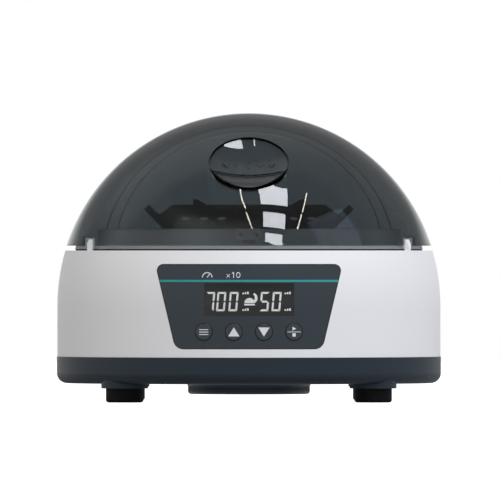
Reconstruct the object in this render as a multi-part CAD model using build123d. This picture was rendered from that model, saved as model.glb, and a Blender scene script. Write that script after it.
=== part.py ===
# Mini centrifuge with a hinged clear dome, built from its separate pieces.
# Millimetres. +Z up, front towards -Y, origin on the bench under the middle of the body.
from build123d import *
import math
import os

os.makedirs("parts", exist_ok=True)

# Cuts run past the faces that they open, by one of these lengths
past = 1.0
skin_past = 2.0
far_past = 5.0

# Body of revolution: the dome and the casing are turned about one centre
dome_centre_z = 48.2
lid_radius = 96.0
lid_wall = 2.5
lid_rim_z = 77.9
case_inset = 0.25
case_wall = 2.5
deck_z = 75.5
deck_thickness = 2.5
seam_z = 22.5

# Base
base_wall = 2.5
base_bottom_z = 9.25
base_corner_radius = 5.0
base_lip_height = 3.0
base_lip_wall = 2.0
base_lip_gap = 0.2
cup_radius = 30.5
cup_bottom_z = 3.75
cup_corner_radius = 1.5
cup_blend_radius = 2.0

# Feet
foot_radius = 9.35
foot_height = 7.0
foot_edge_radius = 1.5
foot_inset = 12.68
foot_angle = 42.23
foot_boss_radius = 11.65
foot_recess_radius = 4.0
foot_recess_depth = 3.0

# Screws, nominal M3
screw_radius = 1.5
screw_head_radius = 2.7
screw_head_height = 1.7
screw_clear_radius = 1.75
screw_boss_radius = 3.6
socket_width_share = 0.45
socket_depth_share = 0.6
foot_screw_end_gap = 1.0
screw_recess_gap = 0.1
boss_overlap = 0.5

# Joining screws of the casing
case_screw_inset = 9.75
case_screw_angles = [30.0, 150.0, 210.0, 330.0]
case_column_radius = 4.5
case_screw_recess_radius = 3.2
case_screw_seat = 3.5
case_screw_length = 16.0
case_rib_thickness = 3.0

# Chamber
chamber_flange_width = 13.0
chamber_wall = 2.0
splash_top_z = 86.0
flange_lid_gap = 1.66
flange_taper = 0.75
flange_top_z = 78.3
gasket_thickness = 0.7
gasket_inset = 0.4
chamber_floor_z = 62.5
chamber_corner_radius = 8.0
drip_collar_radius = 7.0
drip_collar_wall = 2.5
drip_collar_height = 6.0
deck_hole_clearance = 1.2
chamber_screw_inset = 6.0
chamber_screw_angles = [45.0, 135.0, 225.0, 315.0]
chamber_screw_length = 8.0

# Rotor: a square bowl with plates that lean out at 45 degrees
rotor_plate_thickness = 3.3
rotor_outer_at_ref = 42.3
rotor_ref_z = 86.0
rotor_bottom_z = 72.0
rotor_floor_thickness = 3.0
rotor_lip_z = 97.9
rotor_corner_radius = 8.0
notch_top_half = 37.5
notch_bottom_half = 43.5
notch_bottom_z = 93.35
tube_hole_radius = 3.15
tube_pitch = 9.0
tube_count = 8
tube_hole_z = 91.5
ear_x = 24.5
ear_width = 6.0
ear_thickness = 3.0
ear_crest_width = 2.0
ear_slant_height = 9.0
ear_high_z = 100.5
ear_low_z = 98.2
hub_radius = 10.0
hub_top_z = 94.0
knob_radius = 11.5
knob_top_z = 98.4
knob_flutes = 12
knob_flute_radius = 1.3
knob_flute_start = 15.0
knob_chamfer = 0.8
knob_stub_length = 2.0

# Shaft and motor
shaft_radius = 3.0
shaft_bottom_z = 7.6
running_clearance = 0.05
motor_radius = 18.0
motor_wall = 1.5
motor_bottom_z = 8.0
motor_top_z = 44.0
bearing_radius = 8.0
bearing_height = 4.0
bearing_race = 1.5
bearing_groove_depth = 0.4
stator_inner_radius = 10.5
stator_height = 16.0
stator_slot_count = 6
stator_slot_half = 0.8
stator_yoke = 2.0
winding_height = 3.0
winding_inset = 0.6
magnet_radius = 9.8
magnet_height = 20.0
mount_plate_radius = 42.0
mount_plate_thickness = 2.0
plate_notch_half = 12.0
plate_notch_gap = 2.0
plate_bore_lip = 1.0
damper_circle = 36.0
damper_radius = 6.0
damper_height = 10.0
damper_waist_depth = 1.2
damper_rim = 3.0
damper_angles = [30.0, 150.0, 270.0]
motor_screw_circle = 12.5
motor_screw_length = 5.0

# Hinge
hinge_inset = 5.29
hinge_z = 80.0
hinge_pin_radius = 1.25
hinge_pin_overhang = 0.3
hinge_half_width = 22.0
hinge_lug_radius = 3.6
hinge_base_thickness = 0.8
hinge_middle_half = 4.0
hinge_ear_inner = 12.0
hinge_ear_outer = 18.0
hinge_ear_radius = 3.2
hinge_side_gap = 0.4
hinge_arm_inset = 0.8
hinge_screw_x = 7.8
hinge_screw_length = 6.0
lid_notch_side_gap = 1.0
lid_notch_z = 86.5
flange_notch_gap = 1.0

# Posts beside the lid rim
post_angle = 28.73
post_width = 3.1
post_depth = 3.1
post_top_z = 81.0
post_gap = 0.8
post_rim_inset = 1.2
post_notch_reach = 12.0

# Press pad, moulded into the front of the dome
pad_elevation = 48.6
pad_radius = 19.35
pad_groove_width = 0.6
pad_groove_depth = 1.7
pad_dish_radius = 56.0
pad_dish_shift = 2.9
pad_dish_depth = 5.4
pad_crease = -5.4
pad_lip_mid_v = -12.0
pad_lip_mid_drop = 2.05
pad_lip_end_v = -21.0
pad_lip_end_drop = 0.7
pad_boss_depth = 8.1
pad_mark_count = 5
pad_mark_pitch = 5.6
pad_mark_height = 0.35
pad_mark_half = 2.0
pad_mark_arm = 1.2
pad_mark_drop = 2.0
pad_mark_v = 0.6
pad_seat_depth = 2.0

# Stepped band on the inside of the dome's rear
band_tilt = 25.0
band_outer_angle = 53.0
band_inner_angle = 47.0
band_height = 0.5

# Latch at the front
latch_inset = 5.66
striker_width = 6.0
striker_thickness = 3.0
striker_tip_z = 72.1
striker_block_width = 12.0
striker_block_bottom_z = 80.5
striker_block_top_z = 86.0
striker_block_depth = 7.0
striker_screw_x = 4.0
striker_screw_length = 5.0
striker_screw_radius = 0.9
striker_screw_head_radius = 1.5
striker_screw_head = 0.8
latch_gap = 1.2
latch_width = 18.0
latch_depth = 9.0
latch_height = 7.5
plunger_height = 2.5
plunger_gap = 0.3
plunger_rest_gap = 0.6
plunger_travel = 2.0
latch_screw_x = 7.0
latch_screw_radius = 1.0
latch_screw_head_radius = 1.6
latch_screw_head = 0.8
latch_screw_length = 9.0
latch_screw_cover = 0.8
lid_switch_width = 10.0
lid_switch_depth = 5.0
lid_switch_height = 6.0
lid_switch_gap = 1.0
lid_switch_lead_places = [2.0, 5.0, 8.0]
lid_switch_lead_width = 0.8
lid_switch_lead_depth = 0.6
lid_switch_lead_length = 3.0
lid_switch_lead_inset = 2.0

# Control panel
label_top_z = 68.85
label_bottom_z = 26.65
label_top_half = 46.5
label_bottom_half = 36.45
label_top_corner = 3.5
label_bottom_corner = 5.0
label_thickness = 0.7
label_gap = 0.1
window_left = -21.9
window_right = 22.3
window_top_z = 59.3
window_bottom_z = 43.35
window_corner = 0.6
window_thickness = 1.5
window_land = 1.5
button_x = 7.45
button_pitch = 14.9
button_z = 35.25
button_radius = 4.15
button_proud = 0.45
button_edge_radius = 0.35
button_gap = 0.25
button_travel = 0.6
button_flange_radius = 5.0
button_wall_gap = 0.85
button_flange_thickness = 1.0
button_stem_radius = 1.6
button_stem_length = 1.1

# Electronics behind the panel
board_key_depth = 7.3
board_thickness = 1.6
board_half_width = 37.0
board_bottom_z = 27.0
board_top_z = 64.0
display_half_width = 26.0
display_bottom_z = 41.0
display_top_z = 62.0
display_wall_gap = 0.48
board_boss_radius = 3.0
board_screw_x = 33.0
board_screw_inset = 3.5
board_screw_radius = 1.2
board_screw_head_radius = 2.2
board_screw_head = 1.4
board_screw_length = 6.0
key_switch_size = 6.0
key_switch_height = 3.5
key_switch_tip_radius = 1.7
key_switch_spare = 0.3

# Driver board on the base floor
driver_half_width = 34.0
driver_depth = 32.0
driver_wall_gap = 9.1
driver_standoff = 4.5
driver_standoff_radius = 3.0
driver_screw_inset = 4.0
driver_screw_length = 5.0
capacitor_radius = 6.0
capacitor_height = 14.0
coil_radius = 7.0
coil_hole_radius = 3.0
coil_height = 7.0
chip_size = 12.0
chip_height = 1.4
header_length = 16.0
header_width = 5.0
header_height = 7.0
header_inset = 1.0

# Rear panel with the inlet and the mains switch
rear_panel_inset = 9.75
rear_panel_wall = 2.5
rear_panel_side_step = 2.1
rear_panel_bottom_z = 28.5
rear_panel_top_z = 46.5
rear_fitting_z = 37.5
jack_x = 22.0
jack_nose_radius = 4.0
jack_nose_proud = 0.8
jack_body_width = 11.0
jack_body_height = 11.0
jack_body_depth = 12.0
jack_bore_radius = 2.75
jack_bore_depth = 9.0
jack_pin_radius = 0.95
jack_gap = 0.1
jack_pin_setback = 1.0
switch_x = -22.0
switch_bezel_width = 21.0
switch_bezel_height = 16.0
switch_bezel_proud = 1.5
switch_body_width = 19.0
switch_body_height = 14.2
switch_body_depth = 13.0
switch_wall = 1.0
switch_gap = 0.15
rocker_width = 16.2
rocker_half_height = 5.0
rocker_reach = 7.2
rocker_pivot_depth = 5.0
rocker_pivot_radius = 1.2
rocker_core_radius = 2.6
rocker_tilt = 8.0
rocker_face_dip = 0.8
rocker_edge_depth = 3.0
rocker_core_depth = 1.0


# Shared values that follow from the sizes above
case_radius = lid_radius - case_inset
case_inner_radius = case_radius - case_wall
lid_inner_radius = lid_radius - lid_wall
lid_notch_half = hinge_half_width + lid_notch_side_gap
base_radius = lid_radius
deck_under_z = deck_z - deck_thickness
flange_bottom_z = deck_z + gasket_thickness
base_floor_top_z = base_bottom_z + base_wall
button_centres = [button_x - button_pitch * 2 + button_pitch * k for k in range(4)]
button_names = ["menu_button", "up_button", "down_button", "start_button"]
key_switch_rest_gap = button_travel + key_switch_spare
on_floor = (Align.CENTER, Align.CENTER, Align.MIN)


def height_radius(radius, z):
    """Radius at height z of a ball of this radius about the dome's centre."""
    return math.sqrt(radius ** 2 - (z - dome_centre_z) ** 2)


def chord(radius, half_width):
    """Distance from the middle to the chord of this half width."""
    return math.sqrt(radius ** 2 - half_width ** 2)


# Places that follow from the lid's rim and the casing's wall
lid_rim_radius = height_radius(lid_radius, lid_rim_z)
lid_rim_inner = height_radius(lid_inner_radius, lid_rim_z)
flange_radius = lid_rim_inner - flange_lid_gap
chamber_radius = flange_radius - chamber_flange_width
chamber_outer_radius = chamber_radius + chamber_wall
deck_hole_radius = chamber_outer_radius + deck_hole_clearance
chamber_screw_circle = flange_radius - chamber_screw_inset
case_screw_circle = case_radius - case_screw_inset
hinge_y = lid_rim_radius - hinge_inset
latch_y = latch_inset - lid_rim_inner
post_circle = lid_rim_radius - post_rim_inset
post_x = post_circle * math.cos(math.radians(post_angle))
post_y = -post_circle * math.sin(math.radians(post_angle))
foot_circle = base_radius - foot_inset
foot_x = foot_circle * math.cos(math.radians(foot_angle))
foot_y = foot_circle * math.sin(math.radians(foot_angle))
pad_dish_floor = lid_radius - pad_dish_depth
pad_boss_bottom = lid_radius - pad_boss_depth
pad_lip_mid_h = lid_radius - pad_lip_mid_drop
pad_lip_end_h = lid_radius - pad_lip_end_drop
button_flange_front = chord(case_inner_radius, button_centres[-1] + button_flange_radius) - button_wall_gap
board_front = button_flange_front - board_key_depth
display_wall_radius = height_radius(case_inner_radius, display_top_z)
display_front = chord(display_wall_radius, display_half_width) - display_wall_gap
driver_rear_y = chord(base_radius - base_wall, driver_half_width) - driver_wall_gap
driver_front_y = driver_rear_y - driver_depth
rear_panel_y = case_radius - rear_panel_inset
rear_panel_half_width = chord(case_radius, rear_panel_y) - rear_panel_side_step


def rod(radius, z_low, z_high, x=0.0, y=0.0):
    return Pos(x, y, z_low) * Cylinder(radius, z_high - z_low, align=on_floor)


def ring(outer, inner, z_low, z_high, x=0.0, y=0.0):
    return rod(outer, z_low, z_high, x, y) - rod(inner, z_low - past, z_high + past, x, y)


def block(x_low, x_high, y_low, y_high, z_low, z_high):
    middle = Pos((x_low + x_high) / 2, (y_low + y_high) / 2, z_low)
    return middle * Box(x_high - x_low, y_high - y_low, z_high - z_low, align=on_floor)


def rod_y(radius, y_low, y_high, x, z):
    """Round bar along Y."""
    return Pos(x, y_high, z) * Rot(90, 0, 0) * Cylinder(radius, y_high - y_low, align=on_floor)


def rod_x(radius, x_low, x_high, y, z):
    """Round bar along X."""
    return Pos(x_low, y, z) * Rot(0, 90, 0) * Cylinder(radius, x_high - x_low, align=on_floor)


def turned(*edges):
    """Solid turned about Z from the edges of a half section in the XZ plane."""
    return revolve(make_face(Wire(edges)), axis=Axis.Z)


def ball(radius):
    """Ball about the dome's centre, with its poles at the sides and its seam below."""
    return Pos(0, 0, dome_centre_z) * Rot(0, 90, 0) * Sphere(radius)


def casing_form(radius, z_low, z_high):
    """Upright wall that turns into the dome's ball above the dome's centre."""
    top_radius = height_radius(radius, z_high)
    half_angle = math.asin((z_high - dome_centre_z) / radius) / 2
    arc_mid = (radius * math.cos(half_angle), 0, dome_centre_z + radius * math.sin(half_angle))
    return turned(
        Line((0, 0, z_low), (radius, 0, z_low)),
        Line((radius, 0, z_low), (radius, 0, dome_centre_z)),
        ThreePointArc((radius, 0, dome_centre_z), arc_mid, (top_radius, 0, z_high)),
        Line((top_radius, 0, z_high), (0, 0, z_high)),
        Line((0, 0, z_high), (0, 0, z_low)),
    )


def on_circle(radius, degrees):
    return radius * math.cos(math.radians(degrees)), radius * math.sin(math.radians(degrees))


def screw(head_radius, head, radius, length):
    """Pan head screw that points down, with its head on z = 0 and a hex socket."""
    body = rod(head_radius, 0, head) + rod(radius, -length, 0)
    hexagon = RegularPolygon(head_radius * socket_width_share, 6)
    socket = extrude(Pos(0, 0, head) * hexagon, -head * socket_depth_share)
    return body - socket


def joined(shapes):
    return Compound(children=[shape for shape in shapes])


def write(shape, name):
    shape.label = name
    export_step(shape, "parts/" + name + ".step")


# Foot places and column places
foot_places = {
    "foot_front_left": (-foot_x, -foot_y),
    "foot_front_right": (foot_x, -foot_y),
    "foot_rear_left": (-foot_x, foot_y),
    "foot_rear_right": (foot_x, foot_y),
}
case_screw_places = [on_circle(case_screw_circle, angle) for angle in case_screw_angles]
damper_places = [on_circle(damper_circle, angle) for angle in damper_angles]
chamber_screw_places = [on_circle(chamber_screw_circle, angle) for angle in chamber_screw_angles]
damper_top_z = motor_top_z
damper_bottom_z = damper_top_z - damper_height
driver_places = [
    (side * (driver_half_width - driver_screw_inset), y)
    for side in (-1, 1)
    for y in (driver_front_y + driver_screw_inset, driver_rear_y - driver_screw_inset)
]
board_screw_places = [
    (side * board_screw_x, z)
    for side in (-1, 1)
    for z in (board_bottom_z + board_screw_inset, board_top_z - board_screw_inset)
]


# Base pan
def make_base_pan():
    corner = base_corner_radius
    slope = math.sqrt(0.5)
    outer_mid = base_radius - corner + corner * slope
    inner_corner = corner - base_wall
    inner_radius = base_radius - base_wall
    lip_outer = case_inner_radius - base_lip_gap
    lip_inner = lip_outer - base_lip_wall
    lip_foot_z = seam_z - base_lip_height
    blend_mid = cup_blend_radius * (1 - slope)
    cup_inner = cup_radius - base_wall
    cup_floor = cup_bottom_z + base_wall
    cup_mid = cup_radius - cup_corner_radius * (1 - slope)
    outline = [
        Line((0, 0, cup_bottom_z), (cup_radius - cup_corner_radius, 0, cup_bottom_z)),
        ThreePointArc(
            (cup_radius - cup_corner_radius, 0, cup_bottom_z),
            (cup_mid, 0, cup_bottom_z + cup_corner_radius * (1 - slope)),
            (cup_radius, 0, cup_bottom_z + cup_corner_radius),
        ),
        Line(
            (cup_radius, 0, cup_bottom_z + cup_corner_radius),
            (cup_radius, 0, base_bottom_z - cup_blend_radius),
        ),
        ThreePointArc(
            (cup_radius, 0, base_bottom_z - cup_blend_radius),
            (cup_radius + blend_mid, 0, base_bottom_z - blend_mid),
            (cup_radius + cup_blend_radius, 0, base_bottom_z),
        ),
        Line((cup_radius + cup_blend_radius, 0, base_bottom_z), (base_radius - corner, 0, base_bottom_z)),
        ThreePointArc(
            (base_radius - corner, 0, base_bottom_z),
            (outer_mid, 0, base_bottom_z + corner * (1 - slope)),
            (base_radius, 0, base_bottom_z + corner),
        ),
        Line((base_radius, 0, base_bottom_z + corner), (base_radius, 0, seam_z)),
        Line((base_radius, 0, seam_z), (lip_outer, 0, seam_z)),
        Line((lip_outer, 0, seam_z), (lip_outer, 0, seam_z + base_lip_height)),
        Line((lip_outer, 0, seam_z + base_lip_height), (lip_inner, 0, seam_z + base_lip_height)),
        Line((lip_inner, 0, seam_z + base_lip_height), (lip_inner, 0, lip_foot_z)),
        Line((lip_inner, 0, lip_foot_z), (inner_radius, 0, lip_foot_z - base_wall)),
        Line((inner_radius, 0, lip_foot_z - base_wall), (inner_radius, 0, base_bottom_z + corner)),
        ThreePointArc(
            (inner_radius, 0, base_bottom_z + corner),
            (base_radius - corner + inner_corner * slope, 0, base_floor_top_z + inner_corner * (1 - slope)),
            (base_radius - corner, 0, base_floor_top_z),
        ),
        Line((base_radius - corner, 0, base_floor_top_z), (cup_inner, 0, base_floor_top_z)),
        Line((cup_inner, 0, base_floor_top_z), (cup_inner, 0, cup_floor)),
        Line((cup_inner, 0, cup_floor), (0, 0, cup_floor)),
        Line((0, 0, cup_floor), (0, 0, cup_bottom_z)),
    ]
    pan = turned(*outline)
    for x, y in foot_places.values():
        pan += rod(foot_boss_radius, foot_height, base_floor_top_z, x, y)
        pan += rod(screw_boss_radius, base_bottom_z, base_floor_top_z + screw_boss_radius, x, y)
    for x, y in foot_places.values():
        pan -= rod(screw_radius, foot_height - past, base_floor_top_z + screw_boss_radius + past, x, y)
    for (x, y), angle in zip(case_screw_places, case_screw_angles):
        column = rod(case_column_radius, base_bottom_z, seam_z, x, y)
        rib = Rot(0, 0, angle) * block(
            case_screw_circle, lip_inner + base_lip_wall / 2,
            -case_rib_thickness / 2, case_rib_thickness / 2, base_floor_top_z, lip_foot_z,
        )
        pan += column + rib
        pan -= rod(case_screw_recess_radius, base_bottom_z - past, seam_z - case_screw_seat, x, y)
        pan -= rod(screw_clear_radius, base_bottom_z, seam_z + past, x, y)
    for x, y in damper_places:
        pan += rod(damper_radius, base_floor_top_z, damper_bottom_z, x, y)
        pan -= rod(screw_radius, damper_bottom_z - screw_boss_radius, damper_bottom_z + past, x, y)
    for x, y in driver_places:
        pan += rod(driver_standoff_radius, base_floor_top_z, base_floor_top_z + driver_standoff, x, y)
        pan -= rod(board_screw_radius, base_floor_top_z, base_floor_top_z + driver_standoff + past, x, y)
    return pan


# Upper housing
def label_outline(gap):
    """Rounded trapezoid of the control panel, seen from the front, drawn in by gap."""
    top = label_top_z - gap
    bottom = label_bottom_z + gap
    points = [
        (-label_top_half + gap, top),
        (label_top_half - gap, top),
        (label_bottom_half - gap, bottom),
        (-label_bottom_half + gap, bottom),
    ]
    face = make_face(Polyline(*points, close=True))
    upper = face.vertices().group_by(Axis.Y)[-1]
    face = fillet(upper, label_top_corner)
    lower = face.vertices().group_by(Axis.Y)[0]
    return fillet(lower, label_bottom_corner)


def front_prism(face):
    """Prism from a face drawn as seen from the front, reaching from the middle to the front."""
    return extrude(Plane.XZ * face, lid_radius + 2 * far_past)


def window_outline(gap):
    width = window_right - window_left - 2 * gap
    height = window_top_z - window_bottom_z - 2 * gap
    middle = Pos((window_left + window_right) / 2, (window_top_z + window_bottom_z) / 2)
    return middle * RectangleRounded(width, height, window_corner)


def make_upper_housing():
    inner_top = height_radius(case_inner_radius, deck_under_z)
    shell = casing_form(case_radius, seam_z, deck_z)
    shell -= casing_form(case_inner_radius, seam_z - past, deck_under_z)
    shell -= rod(deck_hole_radius, deck_under_z - past, deck_z + past)
    pocket = casing_form(case_radius + skin_past, seam_z, deck_z) - casing_form(
        case_radius - label_thickness, seam_z - past, deck_z
    )
    shell -= pocket & front_prism(label_outline(0))
    shell -= panel_shell(case_wall + past) & front_prism(window_outline(window_land))
    window_seat = casing_form(case_radius + skin_past, seam_z, deck_z) - casing_form(
        case_radius - window_thickness, seam_z - past, deck_z
    )
    shell -= window_seat & front_prism(window_outline(-label_gap))
    for x in button_centres:
        bore = button_radius + button_gap
        shell -= rod_y(bore, -case_radius - skin_past, -button_flange_front, x, button_z)
    # Rear panel: a flat face set into the curved wall
    recess = block(
        -rear_panel_half_width, rear_panel_half_width, rear_panel_y, case_radius + far_past,
        rear_panel_bottom_z, rear_panel_top_z,
    )
    backing = block(
        -rear_panel_half_width, rear_panel_half_width, rear_panel_y - rear_panel_wall, case_radius,
        rear_panel_bottom_z - rear_panel_wall, rear_panel_top_z + rear_panel_wall,
    )
    shell += backing & casing_form(case_radius, seam_z, deck_z)
    shell -= recess
    shell -= rod_y(
        jack_nose_radius + jack_gap, rear_panel_y - rear_panel_wall - past, rear_panel_y + past,
        jack_x, rear_fitting_z,
    )
    half = switch_body_width / 2 + jack_gap
    tall = switch_body_height / 2 + jack_gap
    shell -= block(
        switch_x - half, switch_x + half, rear_panel_y - rear_panel_wall - past, rear_panel_y + past,
        rear_fitting_z - tall, rear_fitting_z + tall,
    )
    # Bosses for the casing screws, ribbed to the wall
    for (x, y), angle in zip(case_screw_places, case_screw_angles):
        boss_top = seam_z + case_screw_length
        shell += rod(case_column_radius, seam_z, boss_top, x, y)
        shell += Rot(0, 0, angle) * block(
            case_screw_circle, case_inner_radius + case_wall / 2,
            -case_rib_thickness / 2, case_rib_thickness / 2, seam_z + 2 * base_lip_height, boss_top,
        )
        shell -= rod(screw_radius, seam_z - past, boss_top - screw_radius, x, y)
    # Bosses for the control board
    for x, z in board_screw_places:
        boss = rod_y(board_boss_radius, -case_radius, -board_front, x, z)
        shell += boss & casing_form(case_inner_radius + case_wall / 2, seam_z, deck_z)
        shell -= rod_y(board_screw_radius, -board_front - board_screw_length, -board_front + past, x, z)
    # Bosses under the deck for the chamber and hinge screws
    for x, y in chamber_screw_places:
        boss_bottom = deck_z - chamber_screw_length
        shell += rod(screw_boss_radius, boss_bottom, deck_under_z + boss_overlap, x, y)
        shell -= rod(screw_radius, boss_bottom - past, deck_z + past, x, y)
    for side in (-1, 1):
        x = side * hinge_screw_x
        boss_bottom = deck_z - hinge_screw_length
        boss = rod(screw_boss_radius, boss_bottom, deck_under_z + boss_overlap, x, hinge_y)
        shell += boss & casing_form(case_inner_radius + case_wall / 2, seam_z, deck_z)
        shell -= rod(screw_radius, boss_bottom - past, deck_z + past, x, hinge_y)
    # Slot for the lid striker
    shell -= striker_slot(deck_under_z - past, deck_z + past)
    for side in (-1, 1):
        hole_top = deck_z - latch_screw_cover
        shell -= rod(latch_screw_radius, deck_under_z - past, hole_top, side * latch_screw_x, latch_y)
    # Posts beside the lid rim
    for side in (-1, 1):
        post = block(
            side * post_x - post_width / 2, side * post_x + post_width / 2,
            post_y - post_depth / 2, post_y + post_depth / 2, deck_under_z + boss_overlap, post_top_z,
        )
        shell += post & ball(case_radius)
    return shell


def striker_slot(z_low, z_high):
    half = striker_width / 2 + latch_gap
    deep = striker_thickness / 2 + latch_gap
    return block(-half, half, latch_y - deep, latch_y + deep, z_low, z_high)


# Chamber bowl and its gasket
def make_chamber_bowl():
    floor_under = chamber_floor_z - chamber_wall
    slope = math.sqrt(0.5)
    inner_corner = chamber_corner_radius - chamber_wall
    corner_z = floor_under + chamber_corner_radius
    corner_x = chamber_outer_radius - chamber_corner_radius
    collar_outer = drip_collar_radius + drip_collar_wall
    collar_top = chamber_floor_z + drip_collar_height
    bowl = turned(
        Line((drip_collar_radius, 0, floor_under), (corner_x, 0, floor_under)),
        ThreePointArc(
            (corner_x, 0, floor_under),
            (corner_x + chamber_corner_radius * slope, 0, corner_z - chamber_corner_radius * slope),
            (chamber_outer_radius, 0, corner_z),
        ),
        Line((chamber_outer_radius, 0, corner_z), (chamber_outer_radius, 0, flange_bottom_z)),
        Line((chamber_outer_radius, 0, flange_bottom_z), (flange_radius, 0, flange_bottom_z)),
        Line((flange_radius, 0, flange_bottom_z), (flange_radius - flange_taper, 0, flange_top_z)),
        Line((flange_radius - flange_taper, 0, flange_top_z), (chamber_outer_radius, 0, flange_top_z)),
        Line((chamber_outer_radius, 0, flange_top_z), (chamber_outer_radius, 0, splash_top_z)),
        Line((chamber_outer_radius, 0, splash_top_z), (chamber_radius, 0, splash_top_z)),
        Line((chamber_radius, 0, splash_top_z), (chamber_radius, 0, corner_z)),
        ThreePointArc(
            (chamber_radius, 0, corner_z),
            (corner_x + inner_corner * slope, 0, corner_z - inner_corner * slope),
            (corner_x, 0, chamber_floor_z),
        ),
        Line((corner_x, 0, chamber_floor_z), (collar_outer, 0, chamber_floor_z)),
        Line((collar_outer, 0, chamber_floor_z), (collar_outer, 0, collar_top)),
        Line((collar_outer, 0, collar_top), (drip_collar_radius, 0, collar_top)),
        Line((drip_collar_radius, 0, collar_top), (drip_collar_radius, 0, floor_under)),
    )
    for x, y in chamber_screw_places:
        bowl -= rod(screw_clear_radius, flange_bottom_z - past, flange_top_z + past, x, y)
        recess_radius = screw_head_radius + screw_recess_gap
        bowl -= rod(recess_radius, flange_top_z - screw_head_height, flange_top_z + past, x, y)
    bowl -= striker_slot(flange_bottom_z - past, flange_top_z + past)
    bowl -= hinge_relief(flange_bottom_z - past, flange_top_z + past)
    return bowl


def hinge_relief(z_low, z_high):
    """Room in the flange and gasket for the hinge bracket."""
    half = hinge_half_width + flange_notch_gap
    y_low = hinge_y - hinge_lug_radius - flange_notch_gap
    return block(-half, half, y_low, lid_radius, z_low, z_high)


def make_chamber_gasket():
    gasket = ring(flange_radius - gasket_inset, deck_hole_radius, deck_z, flange_bottom_z)
    for x, y in chamber_screw_places:
        gasket -= rod(screw_clear_radius, deck_z - past, flange_bottom_z + past, x, y)
    gasket -= striker_slot(deck_z - past, flange_bottom_z + past)
    return gasket - hinge_relief(deck_z - past, flange_bottom_z + past)


# Lid
pad_normal = (
    0,
    -math.cos(math.radians(pad_elevation)),
    math.sin(math.radians(pad_elevation)),
)
pad_plane = Plane(origin=(0, 0, dome_centre_z), x_dir=(1, 0, 0), z_dir=pad_normal)


def pad_space(lift):
    """Everything outside the pad's face, with the face moved out by lift, in the pad's frame.

    The face is turned about a line across its meridian: a dish that ends in a rounded lip."""
    axis_h = pad_dish_floor + pad_dish_radius
    radius = pad_dish_radius - lift
    far_v = pad_radius + 4
    far = (0, far_v, axis_h - math.sqrt(radius ** 2 - (far_v - pad_dish_shift) ** 2))
    low = (0, pad_dish_shift, axis_h - radius)
    crease = (0, pad_crease, axis_h - math.sqrt(radius ** 2 - (pad_crease - pad_dish_shift) ** 2))
    lip_mid = (0, pad_lip_mid_v, pad_lip_mid_h + lift)
    lip_end = (0, pad_lip_end_v, pad_lip_end_h + lift)
    face = make_face(Wire([
        ThreePointArc(far, low, crease),
        ThreePointArc(crease, lip_mid, lip_end),
        Line(lip_end, (0, lip_end[1], axis_h)),
        Line((0, lip_end[1], axis_h), (0, far[1], axis_h)),
        Line((0, far[1], axis_h), far),
    ]))
    return revolve(face, axis=Axis((0, 0, axis_h), (0, 1, 0)))


def pad_marks():
    """Row of small raised arrowheads that point down the pad, in the pad's frame."""
    marks = []
    for k in range(pad_mark_count):
        x = (k - (pad_mark_count - 1) / 2) * pad_mark_pitch
        outline = Polyline(
            (x - pad_mark_half, pad_mark_v + pad_mark_drop / 2),
            (x, pad_mark_v - pad_mark_drop / 2),
            (x + pad_mark_half, pad_mark_v + pad_mark_drop / 2),
            (x + pad_mark_half, pad_mark_v + pad_mark_drop / 2 + pad_mark_arm),
            (x, pad_mark_v - pad_mark_drop / 2 + pad_mark_arm),
            (x - pad_mark_half, pad_mark_v + pad_mark_drop / 2 + pad_mark_arm),
            close=True,
        )
        marks.append(extrude(Pos(0, 0, pad_boss_bottom + past) * make_face(outline), pad_radius))
    arrows = marks[0]
    for mark in marks[1:]:
        arrows += mark
    return arrows - pad_space(pad_mark_height)


def make_lid_shell():
    reach = lid_radius + far_past
    above = block(-reach, reach, -reach, reach, lid_rim_z, dome_centre_z + reach)
    place = pad_plane.location
    dish_middle = Pos(0, pad_dish_shift, pad_dish_floor + pad_dish_radius)
    dish_back = dish_middle * Rot(90, 0, 0) * Sphere(pad_dish_radius + lid_wall)
    room = ball(lid_inner_radius) - place * dish_back - band_slice()
    groove_floor = math.sqrt(lid_radius ** 2 - pad_radius ** 2) - pad_groove_depth
    groove = ring(pad_radius + pad_groove_width, pad_radius, groove_floor, lid_radius + far_past)
    seat = rod(pad_radius, groove_floor - pad_seat_depth, lid_radius + far_past)
    pad = rod(pad_radius, pad_boss_bottom, lid_radius + far_past) - pad_space(0)
    shell = (ball(lid_radius) & above) - place * groove - place * seat
    shell += place * pad
    shell -= room
    shell += place * pad_marks()
    # Rim notches for the posts and the hinge
    for side in (-1, 1):
        half = post_width / 2 + post_gap
        shell -= block(
            side * post_x - half, side * post_x + half, post_y - post_notch_reach,
            post_y + post_notch_reach, lid_rim_z - past, post_top_z + post_gap,
        )
    shell -= block(-lid_notch_half, lid_notch_half, 0, lid_radius, lid_rim_z - past, lid_notch_z)
    for side in (-1, 1):
        x_low = min(side * hinge_ear_inner, side * hinge_ear_outer)
        x_high = x_low + hinge_ear_outer - hinge_ear_inner
        arm = block(
            x_low, x_high, hinge_y - hinge_ear_radius, hinge_y + hinge_ear_radius,
            hinge_z, lid_notch_z + lid_wall,
        )
        shell += arm & ball(lid_radius - hinge_arm_inset)
        shell += rod_x(hinge_ear_radius, x_low, x_high, hinge_y, hinge_z)
    bore = hinge_pin_radius + running_clearance
    shell -= rod_x(bore, -hinge_half_width, hinge_half_width, hinge_y, hinge_z)
    for side in (-1, 1):
        shell -= striker_screw_hole(side)
    return shell


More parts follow.
